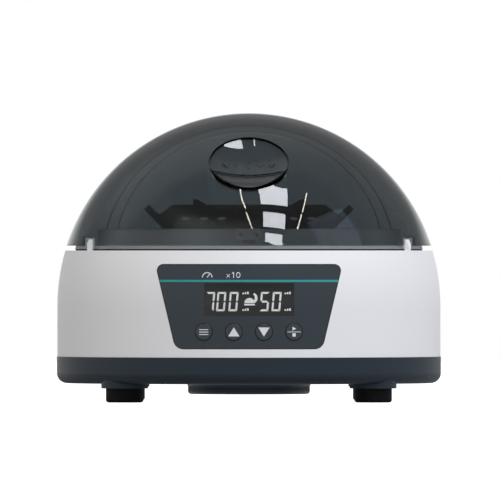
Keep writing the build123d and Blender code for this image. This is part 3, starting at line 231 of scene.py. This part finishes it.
# ---------------------------------------------------------------- Circuit boards
# Glass fibre boards under green lacquer, with the copper tracks just raised under
# it. The driver board stands on the base pan, the control board behind the panel.
def lacquered_board(name, turn):
    """Green lacquer over a net of tracks, turned to lie in the board's own plane."""
    tracks_scale, track_width, track_strength, track_height = 150.0, 0.06, 0.4, 0.00004
    material, shader, made, links = new_material(name, 0.28, 0.5)
    place = made.new("ShaderNodeTexCoord")
    mapping = made.new("ShaderNodeMapping")
    mapping.inputs["Rotation"].default_value = turn
    links.new(place.outputs["Object"], mapping.inputs["Vector"])
    tracks = made.new("ShaderNodeTexBrick")
    tracks.inputs["Scale"].default_value = tracks_scale
    tracks.inputs["Mortar Size"].default_value = track_width
    tracks.inputs["Color1"].default_value = (0.012, 0.09, 0.035, 1)
    tracks.inputs["Color2"].default_value = (0.014, 0.105, 0.042, 1)
    tracks.inputs["Mortar"].default_value = (0.02, 0.17, 0.07, 1)
    links.new(mapping.outputs["Vector"], tracks.inputs["Vector"])
    links.new(tracks.outputs["Color"], shader.inputs["Base Color"])
    raised_by(made, links, tracks.outputs["Fac"], track_strength, track_height, shader)
    return material


dress(lacquered_board("driver_board_lacquer", (0, 0, 0)), "driver_board")
dress(lacquered_board("control_board_lacquer", (math.radians(90), 0, 0)), "control_board")
part_mouldings = moulded("part_mouldings", (0.03, 0.03, 0.032), 0.4, 0.4, grain=2200.0)
dress(part_mouldings, "driver_parts", "display_module", "key_switches")


# ---------------------------------------------------------------- Upper housing
# The white half of the casing: a single satin moulding that carries the deck, the
# posts beside the lid and the seats of the panel, the keys and the rear fittings.
white_plastic = moulded("white_case_plastic", (0.80, 0.795, 0.80), 0.4, 0.4, depth=0.00002, spread=0.012)
dress(white_plastic, "upper_housing")


# ---------------------------------------------------------------- Control panel
# A thin printed film glued into its seat, which follows the round of the casing.
# A darker line along its edge is painted shade, where the film meets its seat.
mm = 0.001
case_radius = 95.75
dome_centre_z = 48.2
ink = 0.05
panel_top_z = 68.85
panel_bottom_z = 26.65
panel_top_half = 46.5
panel_bottom_half = 36.45


def case_front(x, z, proud):
    """Y of the casing's front at this place, in millimetres."""
    rise = max(z - dome_centre_z, 0)
    return -math.sqrt((case_radius + proud) ** 2 - rise ** 2 - x ** 2)


def bent_to_case(bm, proud, thickness):
    """Cuts flat faces into small fields, lays them on the round front and gives them a thickness."""
    field_size = 3.0
    reach = math.floor(panel_top_half / field_size) + 1
    for step in range(-reach, reach + 1):
        for normal in ((1, 0, 0), (0, 0, 1)):
            at = step * field_size
            bmesh.ops.bisect_plane(
                bm, geom=bm.verts[:] + bm.edges[:] + bm.faces[:],
                plane_co=(at, 0, at + dome_centre_z), plane_no=normal,
            )
    front = bmesh.ops.extrude_face_region(bm, geom=bm.faces[:])["geom"]
    front = [vert for vert in front if isinstance(vert, bmesh.types.BMVert)]
    bmesh.ops.translate(bm, verts=front, vec=(0, -thickness, 0))
    for vert in bm.verts:
        vert.co.y = case_front(vert.co.x, vert.co.z, proud - vert.co.y)


def finished(bm, name, material, body):
    """Makes the piece in metres, and says what it rides on."""
    bmesh.ops.recalc_face_normals(bm, faces=bm.faces[:])
    bmesh.ops.scale(bm, vec=(mm, mm, mm), verts=bm.verts[:])
    mesh = bpy.data.meshes.new(name)
    bm.to_mesh(mesh)
    bm.free()
    mesh.materials.append(material)
    piece = bpy.data.objects.new(name, mesh)
    bpy.context.scene.collection.objects.link(piece)
    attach(piece, body)


def printed(name, outlines, material, body, proud=0.02, thickness=ink):
    """Ink on the casing's round front, from outlines in millimetres as seen from the front."""
    bm = bmesh.new()
    for outline in outlines:
        bm.faces.new([bm.verts.new((x, 0, z)) for x, z in outline])
    bent_to_case(bm, proud, thickness)
    finished(bm, name, material, body)


def make_panel_edge():
    """Painted shade: a darker line along the edge of the film, where it meets its seat."""
    edge_width, edge_proud = 0.45, 0.01
    top_corner_run, bottom_corner_run = 4.43, 3.95
    bm = bmesh.new()
    corners = [
        bm.verts.new((-panel_top_half, 0, panel_top_z)), bm.verts.new((panel_top_half, 0, panel_top_z)),
        bm.verts.new((panel_bottom_half, 0, panel_bottom_z)),
        bm.verts.new((-panel_bottom_half, 0, panel_bottom_z)),
    ]
    bm.faces.new(corners)
    for pair, run in ((corners[:2], top_corner_run), (corners[2:], bottom_corner_run)):
        bmesh.ops.bevel(
            bm, geom=pair, offset=run, segments=10, profile=0.5, affect="VERTICES", material=-1
        )
    field = bm.faces[:]
    bmesh.ops.inset_region(
        bm, faces=field, thickness=edge_width, use_even_offset=True, use_boundary=True
    )
    bmesh.ops.delete(bm, geom=field, context="FACES")
    bent_to_case(bm, edge_proud, ink / 2)
    finished(bm, "panel_edge", painted_seat_shade, "casing")


slate_film = moulded("slate_film", (0.028, 0.038, 0.046), 0.36, 0.3, grain=4200.0, depth=0.000012)
dress(slate_film, "front_label")
# Painted shade along the edge of the film, where it steps into its seat
painted_seat_shade = moulded("painted_seat_shade", (0.010, 0.014, 0.018), 0.36, 0.3, grain=4200.0, depth=0.000012)
make_panel_edge()
teal_ink = moulded("teal_ink", (0.025, 0.28, 0.29), 0.4, 0.3, grain=5000.0, depth=0.000008)
stripe_low_half, stripe_low_z = 44.1, 59.9
stripe_high_half, stripe_high_z = stripe_low_half + 0.25, 61.0
printed(
    "panel_stripe",
    [[(-stripe_low_half, stripe_low_z), (stripe_low_half, stripe_low_z),
      (stripe_high_half, stripe_high_z), (-stripe_high_half, stripe_high_z)]],
    teal_ink, "casing",
)


# ---------------------------------------------------------------- Printed marks
# Pale screen print: above the window a small gauge and a times ten, in the window
# the liquid crystal's figures, two unit bars and a small picture of the open lid.
pale_ink = moulded("pale_ink", (0.72, 0.74, 0.76), 0.45, 0.3, grain=5000.0, depth=0.000008, spread=0.03)
crystal = moulded("lit_crystal", (0.70, 0.72, 0.71), 0.3, 0.4, grain=5000.0, depth=0.000004, spread=0.05)
figure_height = 9.5
figure_width = 4.35
figure_stroke = 0.95
figure_gap = 0.12
figure_lean = math.tan(math.radians(5))
figure_foot_z = 45.5


def figure_bars(lit, left):
    """Outlines of the lit bars of one seven-bar figure, whose foot starts at left."""
    w, h, t, g = figure_width, figure_height, figure_stroke, figure_gap
    half = h / 2
    bars = {
        "a": [(g, h), (w - g, h), (w - t - g, h - t), (t + g, h - t)],
        "d": [(g, 0), (t + g, t), (w - t - g, t), (w - g, 0)],
        "g": [(t / 2 + g, half), (t + g, half + t / 2), (w - t - g, half + t / 2), (w - t / 2 - g, half),
              (w - t - g, half - t / 2), (t + g, half - t / 2)],
        "f": [(0, h - g), (t, h - t - g), (t, half + t / 2 + g), (t / 2, half + g), (0, half + t / 2 + g)],
        "e": [(0, g), (0, half - t / 2 - g), (t / 2, half - g), (t, half - t / 2 - g), (t, t + g)],
        "b": [(w, h - g), (w, half + t / 2 + g), (w - t / 2, half + g), (w - t, half + t / 2 + g),
              (w - t, h - t - g)],
        "c": [(w, g), (w - t, t + g), (w - t, half - t / 2 - g), (w - t / 2, half - g),
              (w, half - t / 2 - g)],
    }
    return [
        [(left + x + z * figure_lean, figure_foot_z + z) for x, z in bars[label]] for label in lit
    ]


figures = []
for lit, left in (("abc", -21.8), ("abcdef", -16.3), ("abcdef", -10.2), ("afgcd", 5.2), ("abcdef", 11.1)):
    figures += figure_bars(lit, left)
printed("display_figures", figures, crystal, "casing")


def disc(x, z, radius, first=0, last=360, steps=18):
    """Outline of a disc, or of the part of it between two angles."""
    angles = [math.radians(first + (last - first) * k / steps) for k in range(steps + 1)]
    return [(x + radius * math.cos(angle), z + radius * math.sin(angle)) for angle in angles]


def bar(left, right, low, high):
    """Outline of an upright rectangle."""
    return [(left, low), (right, low), (right, high), (left, high)]


def arc_band(x, z, radius, width, first, last, steps=10):
    """Outlines of the short fields that make a curved stroke."""
    outer = disc(x, z, radius, first, last, steps)
    inner = disc(x, z, radius - width, first, last, steps)
    return [[outer[k], outer[k + 1], inner[k + 1], inner[k]] for k in range(steps)]


def make_window_marks():
    """Picture of the open lid, and three rising unit bars at the head and foot of each group."""
    bowl_x, bowl_z, bowl_radius = 0.3, 49.5, 2.55
    open_x, open_z, open_radius, open_inside = 1.6, 52.0, 2.7, 2.6
    tray_left, tray_right, tray_low, tray_high = -2.3, 2.9, 48.35, 49.15
    bowl = [disc(bowl_x, bowl_z, bowl_radius, 0, 180), bar(tray_left, tray_right, tray_low, tray_high)]
    outside_line = disc(open_x, open_z, open_radius, -65, 65, 12)
    inside_line = disc(bowl_x, open_z, open_inside, -48, 48, 12)
    open_lid = [outside_line + inside_line[::-1]]
    bar_count, bar_width, bar_pitch = 3, 0.8, 1.15
    first_height, height_step = 0.75, 0.25
    group_lefts, group_lows = (-3.2, 17.6), (45.7, 53.9)
    unit_bars = []
    for left in group_lefts:
        for low in group_lows:
            for k in range(bar_count):
                start = left + bar_pitch * k
                end = left + bar_width + bar_pitch * k
                unit_bars.append(bar(start, end, low, low + first_height + height_step * k))
    printed("display_marks", bowl + open_lid + unit_bars, crystal, "casing")


make_window_marks()


def make_times_ten():
    """A small gauge, then a cross and the figures one and nought."""
    low, high, stroke = 61.95, 64.85, 0.42
    one_left, one_right, nought_x, nought_narrow = -7.75, -7.35, -5.25, 0.72
    gauge_x, gauge_z, gauge_radius, gauge_stroke = -20.6, 62.2, 2.6, 0.45
    gauge = arc_band(gauge_x, gauge_z, gauge_radius, gauge_stroke, 0, 180)
    gauge += [[
        (gauge_x - 0.3, gauge_z), (gauge_x + 0.3, gauge_z),
        (gauge_x + 1.45, gauge_z + 1.8), (gauge_x + 1.15, gauge_z + 1.95),
    ]]
    cross_x, cross_z, arm, thin = -10.2, 63.0, 0.8, 0.2
    cross = [
        [(cross_x - arm, cross_z + arm * side - thin), (cross_x - arm, cross_z + arm * side + thin),
         (cross_x + arm, cross_z - arm * side + thin), (cross_x + arm, cross_z - arm * side - thin)]
        for side in (-1, 1)
    ]
    flag_left = one_left - 0.6
    flag = [(one_left, high), (one_left, high - 0.55), (flag_left, high - 0.85), (flag_left, high - 0.45)]
    one = [bar(one_left, one_right, low, high), flag]
    nought = [
        [(x * nought_narrow + nought_x, z) for x, z in field]
        for field in arc_band(0, (low + high) / 2, (high - low) / 2, stroke, 0, 360, 20)
    ]
    printed("panel_times_ten", gauge + cross + one + nought, pale_ink, "casing")


make_times_ten()


# ---------------------------------------------------------------- Display window
# A polished black window let into the casing in front of the liquid crystal cell.
black_window = moulded("black_window", (0.010, 0.010, 0.010), 0.12, 0.3, grain=6000.0, depth=0.000002)
dress(black_window, "display_window")


# ---------------------------------------------------------------- Keys
# Four round keys in the colour of the film, each with its mark printed on top: a
# list, up, down, and a line between start and stop.
slate_key = moulded("slate_key", (0.030, 0.040, 0.048), 0.32, 0.35, grain=4200.0, depth=0.000012)
dress(slate_key, "menu_button", "up_button", "down_button", "start_button")
key_proud = 0.46
key_ink = 0.02
key_z = 35.25
key_x = {"menu": -22.35, "up": -7.45, "down": 7.45, "start": 22.35}


def key_mark(key, outlines):
    """Mark printed on a key, from outlines about the key's middle."""
    placed = [[(x + key_x[key], z + key_z) for x, z in outline] for outline in outlines]
    printed(key + "_mark", placed, pale_ink, key + "_key", key_proud, key_ink)


key_mark("menu", [bar(-2.3, 2.3, low, low + 0.42) for low in (-1.5, -0.3, 0.9)])
key_mark("up", [[(-2.8, -2.2), (2.8, -2.2), (0, 2.3)]])
key_mark("down", [[(-2.8, 2.2), (0, -2.3), (2.8, 2.2)]])
key_mark("start", [
    bar(-3.3, 3.3, -0.15, 0.15), [(-0.8, 0.65), (1.1, 1.6), (-0.8, 2.55)], bar(-0.8, 0.8, -2.3, -0.7),
])


# ---------------------------------------------------------------- Chamber
# A turned bowl moulded in pale grey, screwed to the deck over a near-black gasket ring, which gives the
# darker line at the foot of the flange. Its top edge stands up inside the lid and keeps splashes in.
grey_plastic = moulded("pale_chamber_plastic", (0.86, 0.88, 0.89), 0.42, 0.4)
dress(grey_plastic, "chamber_bowl")
# Near-black ring under the flange, which makes the darker line there
dark_flange_ring = moulded("dark_flange_ring", (0.03, 0.03, 0.032), 0.8, 0.2, grain=900.0, depth=0.0001, spread=0.2)
dress(dark_flange_ring, "chamber_gasket")


# ---------------------------------------------------------------- Rotor
# A square bowl moulded in black, whose plates lean out and are bored for a strip of
# eight tubes each. It sits on the shaft and is held down by a fluted knob.
black_rotor = moulded("black_rotor_plastic", (0.010, 0.0095, 0.009), 0.38, 0.35, grain=2000.0)
dress(black_rotor, "strip_rotor")
black_plastic = moulded("black_plastic", (0.008, 0.008, 0.0085), 0.36, 0.35)
dress(black_plastic, "rotor_knob", "lid_switch", "latch_body", "power_jack", "switch_body")


# ---------------------------------------------------------------- Hinge
# A bracket of dark painted metal on the deck, with a ground pin through the ears of
# the lid.
dark_paint = moulded("dark_paint", (0.02, 0.02, 0.022), 0.3, 0.5, grain=1500.0, depth=0.00004)
dress(dark_paint, "hinge_bracket")


# ---------------------------------------------------------------- Lid
# One clear smoked moulding, polished inside and out, with the round press pad let
# into its front and a stepped band inside its rear. The pad's arrowheads are frosted.
def pad_marks_mask(made, links):
    """One on the raised arrowheads of the press pad, nought elsewhere."""
    elevation = math.radians(48.6)
    dish_middle = (0, -0.09477, 0.16008)
    dish_radius, mark_height = 0.056, 0.00035
    low_share, high_share = 0.3, 0.7
    up_pad = (0, math.sin(elevation), math.cos(elevation))
    pad_middle_up, marks_above = 0.0319, 0.0016
    marks_up, reach_up, reach_across = pad_middle_up + marks_above, 0.0032, 0.0145
    place = made.new("ShaderNodeTexCoord")
    away = made.new("ShaderNodeVectorMath")
    away.operation = "DISTANCE"
    away.inputs[1].default_value = dish_middle
    links.new(place.outputs["Object"], away.inputs[0])
    raised = made.new("ShaderNodeMapRange")
    raised.inputs["From Min"].default_value = dish_radius - low_share * mark_height
    raised.inputs["From Max"].default_value = dish_radius - high_share * mark_height
    links.new(away.outputs["Value"], raised.inputs["Value"])
    up = made.new("ShaderNodeVectorMath")
    up.operation = "DOT_PRODUCT"
    up.inputs[1].default_value = up_pad
    links.new(place.outputs["Object"], up.inputs[0])
    parts = made.new("ShaderNodeSeparateXYZ")
    links.new(place.outputs["Object"], parts.inputs["Vector"])
    mask = raised.outputs["Result"]
    for value, middle, reach in (
        (up.outputs["Value"], marks_up, reach_up), (parts.outputs["X"], 0.0, reach_across),
    ):
        near = made.new("ShaderNodeMath")
        near.operation = "COMPARE"
        near.inputs[1].default_value = middle
        near.inputs[2].default_value = reach
        links.new(value, near.inputs[0])
        both = made.new("ShaderNodeMath")
        both.operation = "MULTIPLY"
        links.new(mask, both.inputs[0])
        links.new(near.outputs["Value"], both.inputs[1])
        mask = both.outputs["Value"]
    return mask


def make_smoked():
    """Clear smoked plastic, polished all over but for the frosted arrowheads."""
    smoke_tint, tint_spread = (0.165, 0.195, 0.21), 0.03
    polish_low, polish_high, frosting = 0.004, 0.016, 0.3
    material, shader, made, links = new_material("smoked_plastic", 0.03, 0.5)
    shader.inputs["Transmission Weight"].default_value = 1.0
    shader.inputs["IOR"].default_value = 1.49
    skin = made.new("ShaderNodeGroup")
    skin.node_tree = moulded_skin
    skin.inputs["Grain"].default_value = 400.0
    tint = tinted(made, links, skin.outputs["Tone"], smoke_tint, tint_spread)
    links.new(tint, shader.inputs["Base Color"])
    marks = pad_marks_mask(made, links)
    polish = spread_value(made, links, skin.outputs["Height"], polish_low, polish_high)
    frost = made.new("ShaderNodeMath")
    frost.operation = "MULTIPLY_ADD"
    frost.inputs[1].default_value = frosting
    links.new(marks, frost.inputs[0])
    links.new(polish, frost.inputs[2])
    links.new(frost.outputs["Value"], shader.inputs["Roughness"])
    return material


smoked_plastic = make_smoked()
dress(smoked_plastic, "lid_shell")


def make_band_edges():
    """Painted shade: thin near-black rings along the two edges of the band, for the dark look of its steps
    in the clear plastic, cut off at the rim.
    """
    lid_inner_radius, lid_rim_z, above_rim = 93.5, 77.9, 0.3
    band_height, band_angles, edge_radius = 0.5, (47.0, 53.0), 0.32
    tilt, turn_steps = math.radians(25), 160
    # Painted shade: opaque near-black rings where the clear band's stepped edges look dark
    painted_edge_shade = moulded("lid_edge_painted_shade", (0.010, 0.012, 0.013), 0.3, 0.4)
    reach = lid_inner_radius - band_height
    bm = bmesh.new()
    for angle in band_angles:
        centre = (reach * math.sin(math.radians(angle)), 0, reach * math.cos(math.radians(angle)))
        place = Matrix.Translation(centre) @ Matrix.Rotation(math.radians(90), 4, "X")
        start = bmesh.ops.create_circle(bm, segments=6, radius=edge_radius, matrix=place)["verts"]
        ring = start + list({edge for vert in start for edge in vert.link_edges})
        bmesh.ops.spin(
            bm, geom=ring, cent=(0, 0, 0), axis=(0, 0, 1), angle=math.radians(360), steps=turn_steps,
            use_merge=True,
        )
    lean = Matrix.Translation((0, 0, dome_centre_z)) @ Matrix.Rotation(-(math.radians(90) - tilt), 4, "X")
    bmesh.ops.transform(bm, matrix=lean, verts=bm.verts[:])
    cut = bmesh.ops.bisect_plane(
        bm, geom=bm.verts[:] + bm.edges[:] + bm.faces[:], plane_co=(0, 0, lid_rim_z + above_rim),
        plane_no=(0, 0, 1), clear_inner=True,
    )
    rim = [edge for edge in cut["geom_cut"] if isinstance(edge, bmesh.types.BMEdge)]
    bmesh.ops.holes_fill(bm, edges=rim, sides=0)
    finished(bm, "band_edges", painted_edge_shade, "lid")


make_band_edges()


# ---------------------------------------------------------------- Latch
# A push latch under the deck: the plunger is slippery white plastic in a black body,
# and the grey striker screwed to the lid drops into it.
slippery_white = moulded("slippery_white_plastic", (0.72, 0.72, 0.70), 0.3, 0.4)
dress(slippery_white, "latch_plunger")
striker_grey = moulded("striker_grey_plastic", (0.235, 0.25, 0.262), 0.35, 0.35)
dress(striker_grey, "lid_striker")


# ---------------------------------------------------------------- Rear fittings
# The inlet and the rocker switch stand side by side on the flat field of the rear.
# The rocker carries a stroke and a ring printed in white.
switch_x, rocker_pivot_y, fitting_z, rocker_tilt = -22.0, 81.0, 37.5, 8.0
dress(black_plastic, "switch_rocker")


def make_rocker_marks():
    """A stroke on the lower half of the rocker and a ring on the upper, each laid on its face."""
    face_low, face_rise = 6.4, 0.16
    pivot = Vector((switch_x, rocker_pivot_y, fitting_z))
    mark_ink, mark_proud, mark_h = 0.04, 0.01, 2.6
    half_stroke, half_length, ring_radius, ring_width = 0.25, 1.1, 1.15, 0.4
    bm = bmesh.new()
    marks = [bar(-half_stroke, half_stroke, -mark_h - half_length, -mark_h + half_length)]
    marks += arc_band(0, mark_h, ring_radius, ring_width, 0, 360, 24)
    for outline in marks:
        bm.faces.new([bm.verts.new((x, 0, h)) for x, h in outline])
    front = bmesh.ops.extrude_face_region(bm, geom=bm.faces[:])["geom"]
    for vert in front:
        if isinstance(vert, bmesh.types.BMVert):
            vert.co.y += mark_ink
    for vert in bm.verts:
        vert.co.y += face_low + face_rise * abs(vert.co.z) + mark_proud
    tilt = Matrix.Rotation(math.radians(rocker_tilt), 4, "X")
    bmesh.ops.transform(bm, matrix=Matrix.Translation(pivot) @ tilt, verts=bm.verts[:])
    finished(bm, "rocker_marks", pale_ink, "mains_rocker")


make_rocker_marks()


# ---------------------------------------------------------------- Floor, light and camera
# A pale studio floor, soft boxes above and at the sides, and the photograph's view:
# level, straight at the front and from far away.
def make_floor():
    """White to the eye. To all other rays it glows as painted light: strongly under the body, where it
    lights the base from below, and faintly further out.
    """
    floor_radius, floor_grey, grey_spread = 3.0, (0.42, 0.42, 0.42), 0.005
    inner, outer, painted_light_under_body, outer_glow = 0.05, 0.1, 0.6, 0.02
    bm = bmesh.new()
    bmesh.ops.create_circle(bm, cap_ends=True, segments=96, radius=floor_radius)
    mesh = bpy.data.meshes.new("floor")
    bm.to_mesh(mesh)
    bm.free()
    floor = bpy.data.objects.new("floor", mesh)
    bpy.context.scene.collection.objects.link(floor)
    material, shader, made, links = new_material("pale_floor", 0.9, 0.1)
    skin = made.new("ShaderNodeGroup")
    skin.node_tree = moulded_skin
    skin.inputs["Drift"].default_value = 2.0
    tone = tinted(made, links, skin.outputs["Tone"], floor_grey, grey_spread)
    links.new(tone, shader.inputs["Base Color"])
    rays = made.new("ShaderNodeLightPath")
    shader.inputs["Emission Color"].default_value = (1, 1, 1, 1)
    place = made.new("ShaderNodeTexCoord")
    from_middle = made.new("ShaderNodeVectorMath")
    from_middle.operation = "LENGTH"
    links.new(place.outputs["Object"], from_middle.inputs[0])
    # Painted light: the floor's glow under the body, which lights the underside of the base
    under = made.new("ShaderNodeMapRange")
    under.interpolation_type = "SMOOTHSTEP"
    for label, value in (
        ("From Min", inner), ("From Max", outer), ("To Min", painted_light_under_body), ("To Max", outer_glow)
    ):
        under.inputs[label].default_value = value
    links.new(from_middle.outputs["Value"], under.inputs["Value"])
    glow = made.new("ShaderNodeMix")
    links.new(rays.outputs["Is Camera Ray"], glow.inputs["Factor"])
    links.new(under.outputs["Result"], glow.inputs["A"])
    glow.inputs["B"].default_value = 1.0
    links.new(glow.outputs["Result"], shader.inputs["Emission Strength"])
    mesh.materials.append(material)


make_floor()


def make_world():
    """White to the eye and through glass. Gloss sees the white low down and a grey room above."""
    world = bpy.data.worlds.new("studio")
    bpy.context.scene.world = world
    world.use_nodes = True
    made, links = world.node_tree.nodes, world.node_tree.links
    light_level, room_level = 0.45, 0.27
    white_below, grey_above = 0.05, 0.22
    ceiling_lift, wall_lift, skirting_lift = 0.24, 0.4, 0.6
    rays = made.new("ShaderNodeLightPath")
    direction = made.new("ShaderNodeTexCoord")
    split = made.new("ShaderNodeSeparateXYZ")
    links.new(direction.outputs["Generated"], split.inputs["Vector"])
    room = made.new("ShaderNodeMapRange")
    for label, value in (
        ("From Min", white_below), ("From Max", grey_above), ("To Min", 1.0), ("To Max", room_level)
    ):
        room.inputs[label].default_value = value
    links.new(split.outputs["Z"], room.inputs["Value"])

    # Height on the dome at which this direction is seen mirrored from the front
    halfway = made.new("ShaderNodeVectorMath")
    halfway.operation = "SUBTRACT"
    halfway.inputs[1].default_value = (0, 1, 0)
    links.new(direction.outputs["Generated"], halfway.inputs[0])
    sphere_normal = made.new("ShaderNodeVectorMath")
    sphere_normal.operation = "NORMALIZE"
    links.new(halfway.outputs["Vector"], sphere_normal.inputs[0])
    height = made.new("ShaderNodeSeparateXYZ")
    links.new(sphere_normal.outputs["Vector"], height.inputs["Vector"])

    def eased(axis, low, high, start, end, place=split):
        """Number that eases from start to end as a direction's axis goes from low to high."""
        ramp = made.new("ShaderNodeMapRange")
        ramp.interpolation_type = "SMOOTHSTEP"
        for label, value in (("From Min", low), ("From Max", high), ("To Min", start), ("To Max", end)):
            ramp.inputs[label].default_value = value
        links.new(place.outputs[axis], ramp.inputs["Value"])
        return ramp.outputs["Result"]

    def product(strength, *factors):
        """Strength of a patch of the room, faded by each of its factors."""
        total = strength
        for factor in factors:
            step = made.new("ShaderNodeMath")
            step.operation = "MULTIPLY"
            links.new(factor, step.inputs[0])
            if total is strength:
                step.inputs[1].default_value = strength
            else:
                links.new(total, step.inputs[1])
            total = step.outputs["Value"]
        return total

    # A paler ceiling behind the dome, a paler wall before it and a pale band low down,
    # all more to the left
    ceiling = product(
        ceiling_lift, eased("Y", 0.0, 0.2, 0, 1), eased("Y", 0.55, 0.8, 1, 0), eased("Z", 0.35, 0.6, 0, 1),
        eased("X", -0.1, 0.6, 1, 0.25),
    )
    wall = product(
        wall_lift, eased("Y", 0.0, 0.2, 1, 0), eased("Z", 0.5, 0.6, 0, 1), eased("Z", 0.72, 0.82, 1, 0),
        eased("X", -0.75, -0.45, 0, 1), eased("X", -0.15, 0.3, 1, 0),
    )
    skirting = product(
        skirting_lift, eased("Z", 0.385, 0.4, 1, 0, height), eased("Y", 0.1, 0.5, 1, 0),
        eased("X", -0.7, 0.0, 1, 0.55),
    )
    lifted = room.outputs["Result"]
    for patch in (ceiling, wall, skirting):
        step = made.new("ShaderNodeMath")
        step.operation = "ADD"
        links.new(lifted, step.inputs[0])
        links.new(patch, step.inputs[1])
        lifted = step.outputs["Value"]
    seen = made.new("ShaderNodeMath")
    seen.operation = "MAXIMUM"
    links.new(rays.outputs["Is Camera Ray"], seen.inputs[0])
    links.new(rays.outputs["Is Transmission Ray"], seen.inputs[1])
    level = spread_value(made, links, seen.outputs["Value"], light_level, 1.0)
    gloss = made.new("ShaderNodeMix")
    links.new(rays.outputs["Is Glossy Ray"], gloss.inputs["Factor"])
    links.new(level, gloss.inputs["A"])
    links.new(lifted, gloss.inputs["B"])
    links.new(gloss.outputs["Result"], made["Background"].inputs["Strength"])
    made["Background"].inputs["Color"].default_value = (1, 1, 1, 1)


make_world()
dome_middle = Vector((0, 0, 0.06))


def soft_box(name, place, size, radiance, colour=(1, 1, 1), along=(0, 0, 1), mirrored=False):
    """Area lamp that faces the dome, as bright as the eye would see it."""
    width, height = size
    lamp = bpy.data.lights.new(name, "AREA")
    lamp.shape = "RECTANGLE"
    lamp.size = width
    lamp.size_y = height
    lamp.color = colour
    lamp.energy = radiance * math.pi * width * height
    box = bpy.data.objects.new(name, lamp)
    away = (Vector(place) - dome_middle).normalized()
    across = Vector(along).cross(away).normalized()
    facing = Matrix((across, away.cross(across), away)).transposed()
    box.matrix_world = Matrix.Translation(place) @ facing.to_4x4()
    box.visible_camera = False
    box.visible_transmission = not mirrored
    box.visible_glossy = mirrored
    bpy.context.scene.collection.objects.link(box)


cool = (0.92, 0.95, 1.0)
blue_white = (0.79, 0.82, 1.0)
warm = (1.0, 0.94, 0.86)
lamp_white = (1.0, 0.95, 0.82)
soft_box("key_box", (2.5, -1.0, 1.9), (1.6, 1.6), 3.6, blue_white)
soft_box("fill_box", (-1.6, -1.6, 1.9), (1.2, 1.2), 1.35, warm)
soft_box("top_box", (0, -0.4, 2.4), (1.6, 1.6), 0.5)

# Two ceiling lines of tubes and a window of three panes, which the dome mirrors
tube = 0.022
for name, place, length, along in (
    ("tube_left_far", (-0.149, -1.001, 2.293), 0.593, (0.249, -0.894, -0.371)),
    ("tube_left_near", (0.007, -1.548, 1.979), 0.479, (0.273, -0.755, -0.596)),
    ("tube_right_far", (1.126, -0.699, 2.12), 0.592, (0.026, -0.947, -0.32)),
    ("tube_right_near", (1.109, -1.239, 1.879), 0.44, (-0.086, -0.854, -0.513)),
):
    soft_box(name, place, (tube, length), 22.0, lamp_white, along, True)
for name, place, size, along in (
    ("pane_top", (0.508, -0.84, 2.29), (0.58, 0.529), (0.136, -0.923, -0.36)),
    ("pane_middle", (0.569, -1.45, 1.957), (0.502, 0.42), (0.047, -0.799, -0.6)),
    ("pane_low", (0.581, -1.812, 1.636), (0.41, 0.222), (-0.006, -0.675, -0.738)),
):
    soft_box(name, place, size, 15.0, cool, along, True)

camera_data = bpy.data.cameras.new("camera")
camera_data.lens = 1200
camera_data.sensor_width = 36
camera_data.clip_end = 100
camera = bpy.data.objects.new("camera", camera_data)
camera.location = (0.00055, -8.3333, 0.07575)
camera.rotation_euler = (math.radians(90), 0, 0)
bpy.context.scene.collection.objects.link(camera)
bpy.context.scene.camera = camera
bpy.context.scene.view_settings.view_transform = "Standard"
